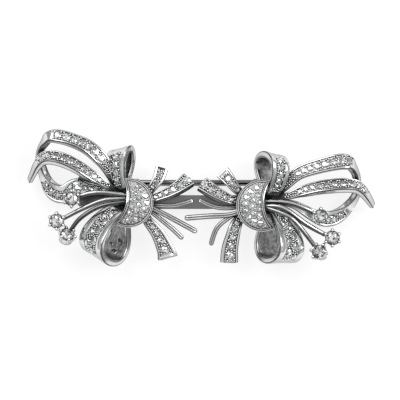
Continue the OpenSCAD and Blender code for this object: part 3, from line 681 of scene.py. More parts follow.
def ribbon(name, rows, lines, node, notched=False):
    """A ribbon through the rows of its table, with a channel for each line of stones."""
    last = len(rows) - 1
    places = np.linspace(0, last, last * ROW_STEPS + 1)
    sections = [strap_section(rows, p) for p in places]
    leads = [LONG_LEAD if line[0] < NEAR_KNOT and "tail" not in name else LEAD for line in lines]
    depths = [max(depth_at(p, line, lead, LEAD, FADE) for line, lead in zip(lines, leads)) for p in places]
    roots = (0, last) if "loop" in name else (0,)
    shades = [max(limit(1.5 - 1.5 * abs(p - root) / ROOT_SHADE) for root in roots) for p in places]
    rings, marks = sweep(sections, depths, shades)
    nose = TAIL_NOSE if "tail" in name else NOSE
    tip = sections[-1]["at"]
    for i, s in enumerate(sections):
        left_over = gap(s["at"], tip)
        if left_over < nose and i > len(sections) // 2:
            middle = np.mean(rings[i], axis=0)
            keep = math.sqrt(max(0.0, 1 - (1 - left_over / nose) ** 2)) * 0.4 + 0.6
            rings[i] = [middle + keep * (p - middle) for p in rings[i]]
    end = len(rings[0])
    # Painted shade: the ribbon's end is marked as side, and so painted darker.
    marks[-end:] = [(m[0], m[1], 1, m[3], m[4]) for m in marks[-end:]]
    if notched:
        rings = swallow_tail(rings, sections[-1])
    make_piece(name, *skin(rings), ribbon_metal, "white_metal", [node], marks)


def swallow_tail(rings, end):
    """Draws the end of a ribbon back towards its middle."""
    along = np.cross(end["across"], end["out"])

    def pull(p):
        back, off = float((end["at"] - p) @ along), abs(float((p - end["at"]) @ end["across"]))
        return p - along * max(0, NOTCH - off) * max(0, 1 - back / NOTCH_REACH)

    return [[pull(p) for p in ring] for ring in rings]


def curl(name, row, line, node):
    stop = 360 - CURL_START
    turns = np.linspace(CURL_START, stop, CURL_STEPS + 1)
    sections = [curl_section(row, a) for a in turns]
    depths = [depth_at(a, line, CURL_LEAD, CURL_LEAD, CURL_FADE) for a in turns]
    shades = [limit(1.4 - min(a - CURL_START, stop - a) / CURL_SHADE) for a in turns]
    rings, marks = sweep(sections, depths, shades)
    make_piece(name, *skin(rings), ribbon_metal, "white_metal", [node], marks)


for side, spray in SPRAYS.items():
    upper, middle, lower = spray["rows"].values()
    ribbon(f"{side}_loop_ribbon", spray["loop"], [upper, lower], f"{side}_ribbons")
    ribbon(f"{side}_strap_ribbon", spray["strap"], [middle], f"{side}_ribbons")
for side, spray in SPRAYS.items():
    for part, row in spray["curls"].items():
        curl(f"{side}_{part}_curl_ribbon", row, spray["curl_rows"][part], f"{side}_ribbons")
for side, spray in SPRAYS.items():
    for i, table in enumerate(spray["tails"]):
        notched = (side, i) == ("left", 0)
        ribbon(f"{side}_tail_ribbon_{i + 1}", table, [spray["tail_rows"][i]], f"{side}_tails", notched)
print("ribbons:", made)

# %% [markdown]
# ## Dark lips that paint shade
# Between the upper two stems on the left, and where the lower strap runs under the middle one, deep
# shade falls and no ground shows. A thin dark lip of metal is put in each place to paint that shade,
# one down towards the second stem and one up under the strap above. Each is a thin lip, so a table of
# where it leaves the strap and where it ends is enough. Its painted shade is darkest at the strap.

# %% Dark lips that paint shade
LIP_T, LIP_CROWN, LIP_NOSE = 0.3, 0.2, 0.08
# Recess, inside and side at the corners of a lip, from the strap outwards and back underneath: they set its
# painted shade
LIP_SHADE_MARKS = [(1.0, 0.2, 0.8), (0.8, 0.2, 0.1), (0.7, 0.1, 0.0), (0.6, 0.0, 0.3)] + [(0.9, 0.2, 0.5)] * 3
# Columns: x, y, z where a lip leaves the strap, then y and z where it ends
SHADE_LIPS = {
    "lower": [
        [-26.8, -0.1, 3.3, -1.3, 3.0], [-26.3, 0.0, 3.4, -2.0, 2.85], [-24.9, 0.3, 3.6, -1.95, 2.9],
        [-23.4, 0.5, 3.8, -1.5, 3.1], [-21.7, 0.6, 3.9, -0.95, 3.4], [-20.0, 0.5, 3.9, -0.5, 3.7],
        [-18.4, 0.2, 3.9, -0.3, 3.8],
    ],
    "upper": [
        [-26.6, 3.6, 3.7, 4.2, 3.7], [-26.1, 3.6, 3.7, 4.7, 3.8], [-25.0, 3.4, 3.8, 4.9, 4.0],
        [-23.8, 3.0, 3.9, 4.2, 4.1], [-22.1, 2.4, 4.0, 3.3, 4.2], [-20.5, 1.9, 4.0, 2.5, 4.2],
    ],
}
for part, shade_lip in SHADE_LIPS.items():
    rings, marks = [], []
    nose = LIP_NOSE if part == "lower" else -LIP_NOSE
    for p in np.linspace(0, len(shade_lip) - 1, 6 * len(shade_lip)):
        x, y, z, y_end, z_end = row_at(shade_lip, p)
        y_crown, z_crown = (y + y_end) / 2, (z + z_end) / 2 + LIP_CROWN
        ring = [np.array([x, *q]) for q in (
            (y, z), (y_crown, z_crown), (y_end + nose, z_end), (y_end, z_end - LIP_T / 2),
            (y_end + nose, z_end - LIP_T), (y_crown, z_crown - LIP_T), (y, z - LIP_T))]
        line = [(*m, p * 5, 0) for m in LIP_SHADE_MARKS]
        rings.append(ring if part == "lower" else ring[::-1])
        marks += line if part == "lower" else line[::-1]
    make_piece(f"left_strap_{part}_lip", *skin(rings), ribbon_metal, "white_metal", ["left_ribbons"], marks)
print("lips:", made[-2:])

# %% [markdown]
# ## Wires
# Between the ribbons lie plain wires with rounded ends. Each was pressed, so a groove runs along it:
# on top of a tail's wire, and on the shoulder of a stem's that faces down in the picture. A round
# profile with one dent serves both.

# %% Sweep the wires
WIRE_SIDES, WIRE_STEPS, GROOVE_WIDTH = 28, 14, 26
TAIL_DENT, STEM_DENT, TOP, WIRE_ROOT = 0.34, 0.32, 90, 0.6


def wire(name, rows, node, dent, seam, stem_shade):
    """A pressed wire. dent is a share of its radius, and seam the direction of its groove."""
    last = len(rows) - 1
    end, along = row_at(rows, last), direction_at(rows, last)
    turns = [360 * j / WIRE_SIDES for j in range(WIRE_SIDES)]
    grooves = [math.exp(-(((a - seam) / GROOVE_WIDTH) ** 2)) for a in turns]
    rings, marks = [], []

    def ring(s, at, lift):
        rings.append([at + s["r"] * cos(lift) * (1 - dent * groove * cos(lift))
                      * (cos(a) * s["across"] + sin(a) * s["out"]) for a, groove in zip(turns, grooves)])

    for p in np.linspace(0, last, last * WIRE_STEPS + 1):
        s = wire_section(rows, p)
        if gap(s["at"], end[:3]) < s["r"] and p > last - 1:
            break
        ring(s, s["at"], 0)
        root = max(0, 1 - p / WIRE_ROOT)
        for a, groove in zip(turns, grooves):
            # Painted shade: darker in the groove, near the root, under the wire and on its flanks, and all
            # over a stem that lies in the others' shade.
            under, flank = 200 < a < 340, max(stem_shade, (abs(cos(a)) - 0.4) / 0.6)
            marks.append((max(3.0 * dent * groove, root), 0.9 * under, flank, p * 5, a / 40))
    s = wire_section(rows, last)
    for lift in (0, 22, 42, 60, 74, 84):
        ring(s, end[:3] - along * s["r"] * (1 - sin(lift)), lift)
        marks += [(2.0 * dent * groove * cos(lift), 0, 0.3, last * 5, a / 40)
                  for a, groove in zip(turns, grooves)]
    make_piece(name, *skin(rings), wire_metal, "white_metal", [node], marks, sharp=50)


for side, spray in SPRAYS.items():
    for i, rows in enumerate(spray["tail_wires"]):
        wire(f"{side}_tail_wire_{i + 1}", rows, f"{side}_tails", TAIL_DENT, TOP, 0)
    for i, (rows, stem_shade) in enumerate(zip(spray["stem_wires"], spray["stem_shade"])):
        wire(f"{side}_stem_wire_{i + 1}", rows, f"{side}_stems", STEM_DENT, spray["seam"], stem_shade)
print("wires:", len([m for m in made if "wire" in m[0]]))

# %% [markdown]
# ## Stones and the grains that hold them
# A brilliant has a table, 8 stars, 8 kites, 16 upper facets, a thin girdle and a pavilion. It is
# built from rings of corners, so one function cuts every stone. In the real channels small grains of
# metal are raised from the floor with a graver and pushed over the stones' edges. They are small domed
# posts, and all the grains of a row are one piece.

# %% Cut one stone
CROWN, PAVILION, TABLE, GIRDLE, STAR_R, STAR_H = 0.15, 0.29, 0.56, 0.03, 0.39, 0.635
draw = random.Random(11)
# Painted light: how bright each kind of facet is painted, for the light that comes back through a real stone
TABLE_FACET_LIGHT = (1.0, 1.0, 1.0, 0.9, 0.6, 0.1)
STAR_FACET_LIGHT = (0.12, 0.4, 0.75, 1.0)
KITE_FACET_LIGHT = (1.0, 1.0, 0.9, 0.6, 0.25)
RIM_FACET_LIGHT = (1.0, 1.0, 0.75, 0.2)
EYE_SHARE, GRAIN_SIDES = 0.3, 10


def brilliant(at, u, w, d):
    """Points, faces and painted facet light of a cut stone: at is the middle of its girdle, w its axis."""
    v = np.cross(w, u)

    def ring(radius, height, start, count):
        return circle(at + height * d * w, u, v, radius * d, count, start)

    points = [at + CROWN * d * w]
    points += ring(TABLE / 2, CROWN, 22.5, 8) + ring(STAR_R, STAR_H * CROWN, 0, 8)
    points += ring(0.5, 0.0, 0, 16) + ring(0.5, -GIRDLE, 0, 16) + [at - PAVILION * d * w]
    points += ring(EYE_SHARE * TABLE, CROWN, 0, 8)
    table, star, girdle, low, tip, eye = 1, 9, 17, 33, 49, 50
    faces, facet_light = [], []
    for i in range(8):
        j = (i + 1) % 8
        faces += [(0, eye + i, eye + j), (eye + i, table + i, eye + j), (eye + j, table + i, table + j)]
        facet_light += [draw.choice(TABLE_FACET_LIGHT) for _ in range(3)]
        faces += [(table + i, star + j, table + j), (table + i, star + i, girdle + 2 * i + 1, star + j)]
        facet_light += [draw.choice(STAR_FACET_LIGHT), draw.choice(KITE_FACET_LIGHT)]
        faces += [(star + i, girdle + (2 * i - 1) % 16, girdle + 2 * i),
                  (star + i, girdle + 2 * i, girdle + 2 * i + 1)]
        facet_light += [draw.choice(RIM_FACET_LIGHT) for _ in range(2)]
    for i in range(16):
        j = (i + 1) % 16
        faces += [(girdle + i, low + i, low + j, girdle + j), (low + i, tip, low + j)]
        facet_light += [0.5, 0.3]
    return points, faces, facet_light


def stones(name, spots, node):
    """A piece of cut stones. Each spot is (middle, sideways, axis, diameter)."""
    points, faces, facet_light = gather([brilliant(*spot) for spot in spots])
    make_piece(name, points, faces, stone_material, "stones", [node], sharp=0, facet_light=facet_light)


def grain(at, u, w, r, foot):
    """A domed post of radius r around at, that stands foot below it."""
    profile = [(1.3 * r, -foot), (1.05 * r, -0.4 * foot), (r, 0)]
    profile += [(r * cos(a), r * 0.9 * sin(a)) for a in (25, 50, 72)]
    # Painted shade: the foot of each grain is darker.
    marks = [(0.5 if h < 0 else 0.0, 0, 0, h, x) for x, h in profile for _ in range(GRAIN_SIDES)]
    return *skin(spun(profile, at, u, w, GRAIN_SIDES)), marks


def grains(name, spots, slot, nodes):
    points, faces, marks = gather([grain(*spot) for spot in spots])
    make_piece(name, points, faces, bead_metal, slot, nodes, marks, sharp=60)


print("facets of a stone:", len(brilliant(np.zeros(3), np.array([1, 0, 0]), np.array([0, 0, 1]), 1.5)[1]))

# %% [markdown]
# ## Rows of stones
# The stones of a row grow along it and touch almost evenly, so they are spaced along the curve by
# their diameters, as a setter lays them out. A hole is drilled behind each, and its collar is a ring
# on the ribbon's back. Grains stand wherever the stones and the walls leave room for one, the
# roomiest places first.

# %% Lay the rows
# Columns: how far outside the hole, height, recess
# The recess column paints shade: the metal is darker inside the hole.
SEAT = [(0.16, -0.06, 0.6), (0.15, 0.06, 0.0), (0.1, 0.1, 0.0), (0.02, 0.1, 0.0), (0.0, 0.04, 0.9),
        (-0.2, 0.01, 1.0)]
SEAT_SIDES, SEAT_SHARE = 18, 0.3
STONE_TO_WALL = 0.1
# Grains: radii, how far their domes stand up, how far they may cover a stone or a wall, how far their
# middles keep off both, how far one keeps off the next
GRAIN_LEAST, GRAIN_MOST, GRAIN_LIFT, OVER_STONE, OVER_WALL = 0.13, 0.23, 0.03, 0.06, 0.02
GRAIN_TO_WALL, GRAIN_TO_STONE, GRAIN_GAP = 0.13, 0.07, 0.02
# Grains reach these shares of a stone's step past the first and the last stone, and on the upper and
# middle straps this many rows of the table before the first. They keep a share off a stone's middle.
FIRST_ROOM, LAST_ROOM, LONG_ROOM, BETWEEN = 0.62, 0.63, 1.0, 0.28
# Places tried in each step and across the channel, and the steps that measure a row's length
TRIES_ALONG, TRIES_ACROSS, WAY_STEPS = 12, 13, 40
# Holes on the inside of the left lower curl's far arm. Columns: turn, sideways, radius
FAR_SEATS = [(264, 0.25, 0.8), (245, -0.4, 0.5), (228, 0.1, 0.75)]


def stone_places(points, places, line):
    """Place, diameter and side of each stone, spaced along the way through points."""
    first, last = line[3:5]
    zigzag = line[5] if len(line) > 5 else 0
    ways = np.cumsum([0.0] + [gap(a, b) for a, b in zip(points, points[1:])])
    m = line[2] - 1
    found = []
    for i in range(m + 1):
        share = (i * first + (last - first) * i * i / (2 * m)) / (m * (first + last) / 2)
        place = float(np.interp(ways[-1] * share, ways, places))
        found.append((place, mix(first, last, i / m), zigzag * (1 if i % 2 == 0 else -1)))
    return found


def seats(name, spots, node):
    """Collars round the drilled holes behind the stones. Each spot is (middle, sideways, axis, radius)."""
    collars = []
    for at, u, w, r in spots:
        rings = spun([(r + x, h) for x, h, _ in SEAT], at, u, w, SEAT_SIDES)
        collars.append((*skin(rings), [(m, 0.0, 0.0, h, x) for x, h, m in SEAT for _ in range(SEAT_SIDES)]))
    points, faces, marks = gather(collars)
    make_piece(name, points, faces, ribbon_metal, "white_metal", [node], marks, sharp=50)


def room_in(s):
    """Half the width of a section's channel."""
    return (s["width"] - s["left"] - s["right"]) / 2


def channel_middle(s):
    return s["at"] + s["across"] * (s["right"] - s["left"]) / 2


def row_of_stones(name, line, section_of, node):
    """Lays the stones, seats and grains of one row. section_of gives the section at a place."""
    places = [mix(line[0], line[1], i / WAY_STEPS) for i in range(WAY_STEPS + 1)]
    spots = stone_places([section_of(p)["at"] for p in places], places, line)
    zigzag = spots[0][2]
    laid, holes = [], []
    for place, d, side in spots:
        s = section_of(place)
        at = channel_middle(s) + side * (room_in(s) - d / 2 - STONE_TO_WALL) * s["across"]
        laid.append((at, s["across"], s["out"], d))
        holes.append((at - (s["thick"] - HOLLOW) * s["out"], s["across"], -s["out"], SEAT_SHARE * d))
    stones(name, laid, name)
    seats(name.replace("stones", "seats"), holes, node)
    step = (spots[-1][0] - spots[0][0]) / (len(spots) - 1)
    before = LONG_ROOM if "strap" in name and "lower" not in name else FIRST_ROOM * step
    found, posts = [], []
    for place in np.arange(spots[0][0] - before, spots[-1][0] + LAST_ROOM * step, step / TRIES_ALONG):
        s = section_of(place)
        reach = room_in(s) - GRAIN_TO_WALL
        between = min(abs(place - spot[0]) for spot in spots) / step
        for share in np.linspace(-1, 1, TRIES_ACROSS):
            at = channel_middle(s) + share * reach * s["across"]
            free = min(gap(at, q[0]) - q[3] / 2 for q in laid)
            r = min(free + OVER_STONE, room_in(s) - abs(share * reach) + OVER_WALL, GRAIN_MOST)
            if free > GRAIN_TO_STONE and r > GRAIN_LEAST and (between > BETWEEN or zigzag):
                found.append((r, at, s))
    found.sort(key=lambda post: -post[0])
    for r, at, s in found:
        if all(gap(at, q[0]) > r + q[3] + GRAIN_GAP for q in posts):
            posts.append((at + GRAIN_LIFT * s["out"], s["across"], s["out"], r, CHANNEL))
    grains(name.replace("stones", "grains"), posts, "white_metal", [node])


for side, spray in SPRAYS.items():
    for part, line in spray["rows"].items():
        table = spray["strap" if part == "middle" else "loop"]
        row_of_stones(f"{side}_{part}_strap_stones", line, partial(strap_section, table), f"{side}_ribbons")
for side, spray in SPRAYS.items():
    for part, line in spray["curl_rows"].items():
        row_of_stones(f"{side}_{part}_curl_stones", line, partial(curl_section, spray["curls"][part]),
                      f"{side}_ribbons")
for side, spray in SPRAYS.items():
    for i, line in enumerate(spray["tail_rows"]):
        row_of_stones(f"{side}_tail_stones_{i + 1}", line, partial(strap_section, spray["tails"][i]),
                      f"{side}_tails")
spots = []
for turn, share, r in FAR_SEATS:
    s = curl_section(SPRAYS["left"]["curls"]["lower"], turn)
    at = s["at"] + share * s["width"] / 2 * s["across"] - (s["thick"] - HOLLOW) * s["out"]
    spots.append((at, s["across"], -s["out"], r))
seats("left_lower_curl_far_seats", spots, "left_ribbons")
print("pieces so far:", len(made))

# %% [markdown]
# ## The domed knots
# Each knot is a crescent cut from a domed plate: a lower step runs round it, then a raised polished
# rim, and inside the rim lies a sunk bed of small stones. Every line of it is the same outline moved
# inwards, so rings of that outline, each at its own height, make the whole relief.

# %% Build a knot
KNOT_BASE, KNOT_TOP, DOME_R, ROUNDED = 7.75, 9.9, 12, 0.07
OUTER_N, BITE_N, BED_COLUMNS = 84, 84, 8
BITE_SHARE = 1.18
# Columns: how far in from the edge, height above the dome, recess
# The recess column paints shade: the metal is darker in the step and in the walls of the bed.
KNOT_RINGS = [
    (0.0, -0.42, 0.1), (0.01, -0.16, 0.0), (0.03, -0.11, 0.0), (0.16, -0.17, 0.0), (0.175, -0.26, 0.9),
    (0.18, -0.40, 1.0), (0.295, -0.40, 1.0), (0.30, -0.1, 0.8), (0.31, 0.07, 0.0), (0.335, 0.1, 0.0),
    (0.49, 0.01, 0.0), (0.51, -0.04, 0.0), (0.515, -0.14, 0.8), (0.52, -0.27, 1.0), (0.645, -0.27, 1.0),
]
BED_IN, BED_LIFT = 0.66, -0.17


def outline(plan, s):
    """The crescent's outline moved in by s: round the outer arc, then back along the bite."""
    middle, bite_middle = plan[:2], plan[3:5]
    outer, inner = plan[2] - s, plan[5] + BITE_SHARE * s
    apart = math.hypot(bite_middle[0] - middle[0], bite_middle[1] - middle[1])
    aim = angle_to(middle, bite_middle)
    a = math.degrees(math.acos((outer**2 + apart**2 - inner**2) / (2 * outer * apart)))
    b = math.degrees(math.acos((inner**2 + apart**2 - outer**2) / (2 * inner * apart)))
    arcs = [(middle, outer, aim + mix(a, 360 - a, i / OUTER_N)) for i in range(OUTER_N + 1)]
    arcs += [(bite_middle, inner, aim + 180 + mix(b, -b, i / BITE_N)) for i in range(1, BITE_N)]
    return [(c[0] + r * cos(t), c[1] + r * sin(t)) for c, r, t in arcs]


def on_dome(plan, p, lift):
    height = KNOT_TOP - DOME_R + math.sqrt(DOME_R**2 - (p[0] - plan[0]) ** 2 - (p[1] - plan[1]) ** 2)
    return np.array([p[0], p[1], height + lift])


def knot(name, plan):
    rings = [[np.array([*p, KNOT_BASE + lift]) for p in outline(plan, ROUNDED - lift)]
             for lift in (0, ROUNDED)]
    # The knot's lower edge and its sunk bed are marked as hidden: partly their rougher skin, partly painted
    # shade.
    marks = [(0.2, 1, 0.3)] * (2 * len(rings[0]))
    for s, lift, recess in KNOT_RINGS:
        rings.append([on_dome(plan, p, lift) for p in outline(plan, s)])
        marks += [(recess, 0, 0)] * len(rings[0])
    edge = outline(plan, BED_IN)
    rings.append([on_dome(plan, p, BED_LIFT) for p in edge])
    marks += [(0.5, 0.8, 0)] * len(edge)
    points, faces = skin(rings, last_cap=False)
    start, n = len(points) - len(edge), len(edge)
    rows = [[start + i] for i in range(OUTER_N + 1)]
    for i in range(1, OUTER_N):
        low, high = edge[i], edge[(n - i) % n]
        for k in range(1, BED_COLUMNS):
            p = [mix(a, b, k / BED_COLUMNS) for a, b in zip(low, high)]
            rows[i].append(len(points))
            points.append(on_dome(plan, p, BED_LIFT))
            marks.append((0.0, 0.95, 0))
        rows[i].append(start + (n - i) % n)
    for a, b in zip(rows[1:], rows[2:OUTER_N]):
        faces += [(a[k], a[k + 1], b[k + 1], b[k]) for k in range(BED_COLUMNS)]
    faces += [tuple([start] + rows[1]), tuple([start + OUTER_N] + rows[OUTER_N - 1][::-1])]
    marks = [(*m, 9 * p[0], 9 * p[1]) for m, p in zip(marks, points)]
    make_piece(name, points, faces, knot_metal, "knot_metal", [name], marks, sharp=40)


for side, spray in SPRAYS.items():
    knot(f"{side}_knot", spray["knot"])
print("knots:", made[-2:])

# %% [markdown]
# ## Stones and grains on the knots
# The stones lie in arcs around the dome. Grains fill what is left between them: spots on a fine
# grid are tried, the roomiest first, and each takes a grain that just clears its neighbours.

# %% Pave the knots
STONE_SINK, GRAIN_SINK, GRAIN_FOOT = 0.1, 0.14, 0.36
GRID, GRID_REACH = 0.1, 5.5
# A grain's middle keeps clear of the knot's edge and touches nothing nearer than the next number
RIM_CLEAR, RIM_TOUCH, KNOT_GRAIN_MOST, KNOT_GRAIN_GAP = 0.72, 0.62, 0.2, 0.04
# Least and greatest distance of a grain's middle from the nearest stone's edge
FREE_LEAST, FREE_MOST = 0.09, 0.5


def pave(side, plan):
    """Lays the stones and grains of one knot and returns how many grains there are."""
    middle = np.array([plan[0], plan[1], KNOT_TOP - DOME_R])
    away = angle_to(plan[3:5], plan)
    spots = []
    for radius, count, spread, d in KNOT_STONES:
        tilt = math.degrees(math.asin(radius / DOME_R))
        for i in range(count):
            a = away + mix(-spread, spread, i / (count - 1))
            out = np.array([sin(tilt) * cos(a), sin(tilt) * sin(a), cos(tilt)])
            spots.append((middle + out * (DOME_R - STONE_SINK), np.array([-sin(a), cos(a), 0]), out, d))
    stones(f"{side}_knot_stones", spots, f"{side}_knot_stones")
    found = []
    steps = np.arange(-GRID_REACH, GRID_REACH, GRID)
    for x, y in ((x, y) for x in steps for y in steps):
        p = (plan[0] + x, plan[1] + y)
        rim = min(plan[2] - math.hypot(x, y),
                  (math.hypot(p[0] - plan[3], p[1] - plan[4]) - plan[5]) / BITE_SHARE)
        free = min(math.hypot(p[0] - s[0][0], p[1] - s[0][1]) - s[3] / 2 for s in spots)
        if rim > RIM_CLEAR and FREE_LEAST < free < FREE_MOST:
            found.append((min(free, rim - RIM_TOUCH), p))
    found.sort(reverse=True)
    posts = []
    for free, p in found:
        r = min(KNOT_GRAIN_MOST, free)
        if all(math.hypot(p[0] - q[0], p[1] - q[1]) > r + s + KNOT_GRAIN_GAP for q, s in posts):
            posts.append((p, r))
    spots = []
    for p, r in posts:
        out = unit(on_dome(plan, p, 0) - middle)
        u = unit(np.cross(np.array([0, 1, 0]), out))
        spots.append((on_dome(plan, p, -GRAIN_SINK), u, out, r, GRAIN_FOOT))
    grains(f"{side}_knot_grains", spots, "knot_metal", [f"{side}_knot"])
    return len(spots)


print("grains on the knots:", [pave(side, spray["knot"]) for side, spray in SPRAYS.items()])

# %% [markdown]
# ## Claw settings
# Each stem ends in a cup, turned from thick tube, with a lip where the stone sits. Six claws are
# soldered round it, and their tips are filed round and pressed over the stone. A turned cup is a
# profile spun round an axis, and a claw is a tapered wire swept along a bent line.

# %% Build the settings
CUP_H, CUP_TOP_R, CLAWS, CUP_SIDES, CLAW_SIDES = 2.1, 1.7, 6, 48, 14
CLAW_STONE_D, GIRDLE_ROOM, GIRDLE_LIFT = 2.9, 0.1, 0.06
# Columns: distance from the straight line between the foot and the lip, height, recess
# The recess column paints shade: the metal is darker in the groove and inside the cup.
CUP = [
    (-0.2, 0.0, 0.3), (-0.05, 0.03, 0.0), (0.0, 0.12, 0.0), (0.0, 0.3, 0.0), (-0.06, 0.36, 0.7),
    (-0.02, 0.44, 0.1), (0.0, 0.82, 0.0), (0.0, 1.4, 0.0), (-0.02, 1.6, 0.0), (0.0, 1.8, 0.0),
    (0.0, 2.03, 0.0), (-0.05, 2.1, 0.0), (-0.16, 2.09, 0.1), (-0.21, 1.95, 0.9), (-0.3, 1.3, 1.0),
    (-0.5, 0.8, 1.0),
]
# Columns: distance from the axis, height, radius of the claw
CLAW = [
    (1.05, 0.5, 0.14), (1.15, 0.62, 0.22), (1.33, 1.05, 0.28), (1.53, 1.6, 0.33), (1.67, 2.0, 0.37),
    (1.72, 2.22, 0.39), (1.69, 2.38, 0.38), (1.61, 2.52, 0.32), (1.5, 2.6, 0.23), (1.41, 2.64, 0.1),
]
ORIGIN, X, Z = np.zeros(3), np.array([1.0, 0, 0]), np.array([0, 0, 1.0])


def cup(foot):
    """A cup whose foot has this radius: its profile spun round Z, closed at both ends."""
    profile = [(mix(foot, CUP_TOP_R, h / CUP_H) + off, h, recess) for off, h, recess in CUP]
    marks = [(m, 0.0, 0.0, 5 * h, 5 * r) for r, h, m in profile for _ in range(CUP_SIDES)]
    return *skin(spun(profile, ORIGIN, X, Z, CUP_SIDES)), marks


def claw(turn, foot):
    out, side = np.array([cos(turn), sin(turn), 0]), np.array([-sin(turn), cos(turn), 0])
    spine = [(r + (foot - 1) * max(0, 1 - h / CUP_H)) * out + h * Z for r, h, _ in CLAW]
    rings = []
    for i, at in enumerate(spine):
        along = unit(spine[min(i + 1, len(spine) - 1)] - spine[max(i - 1, 0)])
        rings.append(circle(at, side, np.cross(side, along), CLAW[i][2], CLAW_SIDES))
    points, faces = skin(rings)
    return points, faces, [(0.0, 0.0, 0.0, 5 * p[2], 5 * p[0]) for p in points]


def seated(setting, p):
    """A point of a setting, leaned and turned, on its foot."""
    x, y, z, lean, turn = setting[:5]
    a, b = p[0] * cos(lean) + p[2] * sin(lean), -p[0] * sin(lean) + p[2] * cos(lean)
    return np.array([x + a * cos(turn) - p[1] * sin(turn), y + a * sin(turn) + p[1] * cos(turn), z + b])


for side, spray in SPRAYS.items():
    for i, setting in enumerate(spray["settings"]):
        claws = [claw(360 * (k + 0.5) / CLAWS, setting[5]) for k in range(CLAWS)]
        for part, shells in (("cup", [cup(setting[5])]), ("claws", claws)):
            points, faces, marks = gather(shells)
            make_piece(f"{side}_setting_{part}_{i + 1}", [seated(setting, p) for p in points], faces,
                       claw_metal, "white_metal", [f"{side}_stems"], marks, sharp=45)
        foot = seated(setting, ORIGIN)
        u, w = seated(setting, X) - foot, seated(setting, Z) - foot
        name = f"{side}_claw_stone_{i + 1}"
        stones(name, [(foot + (CUP_H + GIRDLE_LIFT) * w, u, w, CLAW_STONE_D - GIRDLE_ROOM)], name)
print("settings:", len([m for m in made if "setting" in m[0]]))

# %% [markdown]
# ## Roots and solder
# Under each knot the ribbons, tails and stems are gathered on short posts and flooded with solder.
# Solder has no edges of its own, so the posts and the fillets between them are overlapped roughly and
# a voxel remesh melts them into one skin. It is painted dark, for the shade that falls under the knot.

# %% Melt the roots
CORE_LOW, CORE_TOP, TAIL_ROOT_TOP = 3.45, 5.6, 7.2
STEM_ROOT_Z, STEM_ROOT_TOP = 6.3, 7.6
CORE_R, TAIL_ROOT_R, STEM_ROOT_R = 2, 1.9, 0.95
CORE_Z, TAIL_LOW_Z, TAIL_HIGH_Z = 5.0, 5.0, 5.2
SOLDER_R, THIN_SOLDER_R, THICK_SOLDER_R = 0.55, 0.45, 0.8
# Painted shade: the solder is marked as deep and hidden, so its metal is dark.
ROOT_SHADE_MARKS = (1.0, 0.3, 0.5, 0.0, 0.0)
VOXEL, SMOOTHINGS = 0.11 * MM, 6


def axes_along(start, end, hint):
    """The direction from start to end and two more at right angles to it. hint is no such direction."""
    along = unit(end - start)
    side = unit(np.cross(along, hint))
    return along, side, np.cross(along, side)


def capsule(start, end, r):
    """A round-ended bar between two points."""
    along, side, up = axes_along(start, end, [0.3, 0.2, 0.9])
    line = [(start + along * r * sin(a), r * cos(a)) for a in (-80, -50, -20)]
    line += [(end + along * r * sin(a), r * cos(a)) for a in (20, 50, 80)]
    return *skin([circle(at, side, up, q, 12) for at, q in line]), []


def post(x, y, r, low, high):
    profile = [(0.9 * r, low), (r, low + 0.08), (r, high - 0.1), (0.92 * r, high)]
    return *skin(spun(profile, np.array([x, y, 0.0]), X, Z, 24)), []


def evaluated(piece):
    """Gives an object the mesh that its modifiers make of it."""
    mesh = bpy.data.meshes.new_from_object(piece.evaluated_get(bpy.context.evaluated_depsgraph_get()))
    piece.modifiers.clear()
    piece.data = mesh
    return mesh


def melted(name, parts, nodes):
    points, faces, _ = gather(parts)
    piece = new_object(name, points, faces)
    melt = piece.modifiers.new("melt", "REMESH")
    melt.mode = "VOXEL"
    melt.voxel_size = VOXEL
    piece.modifiers.new("flow", "SMOOTH").iterations = SMOOTHINGS
    mesh = evaluated(piece)
    write_marks(mesh, [ROOT_SHADE_MARKS] * len(mesh.vertices))
    finish_piece(piece, ribbon_metal, "white_metal", nodes, sharp=60)


for side, spray in SPRAYS.items():
    loop, strap = spray["loop"], spray["strap"]
    middle = np.array([*spray["ribbon_root"], CORE_Z])
    parts = [post(*spray["ribbon_root"], CORE_R, CORE_LOW, CORE_TOP),
             capsule(middle, row_at(loop, 0.4)[:3] - 0.7 * Z, SOLDER_R),
             capsule(middle, row_at(loop, len(loop) - 1.5)[:3] - 0.3 * Z, THIN_SOLDER_R),
             capsule(middle, row_at(strap, 0.4)[:3] - 0.6 * Z, SOLDER_R),
             capsule(middle, middle - 0.3 * Z, THICK_SOLDER_R)]
    for turn in (CURL_START + 8, 352 - CURL_START):
        for row in spray["curls"].values():
            s = curl_section(row, turn)
            parts.append(capsule(middle, s["at"] - s["out"] * (CURL_T / 2), SOLDER_R))
    melted(f"{side}_ribbon_root", parts, [f"{side}_ribbons"])
for side, spray in SPRAYS.items():
    root = spray["tail_root"]
    low, high = np.array([*root, TAIL_LOW_Z]), np.array([*root, TAIL_HIGH_Z])
    parts = [post(*root, TAIL_ROOT_R, CORE_LOW, TAIL_ROOT_TOP)]
    parts += [capsule(low, row_at(rows, 0.6)[:3], THIN_SOLDER_R) for rows in spray["tail_wires"]]
    parts += [capsule(high, row_at(rows, place)[:3] - 0.8 * Z, SOLDER_R)
              for rows in spray["tails"] for place in (0, 0.35)]
    melted(f"{side}_tail_root", parts, [f"{side}_tails"])
for side, spray in SPRAYS.items():
    parts = [post(*spray["stem_root"], STEM_ROOT_R, STEM_ROOT_Z, STEM_ROOT_TOP)]
    melted(f"{side}_stem_root", parts, [f"{side}_stems"])
print("roots:", made[-6:])

# %% [markdown]
# ## The back frame
# A round rail and a flat bar join two round plates, one under each spray. They are soldered, so the
# four parts are joined with Boolean unions into one skin, as their solid is.

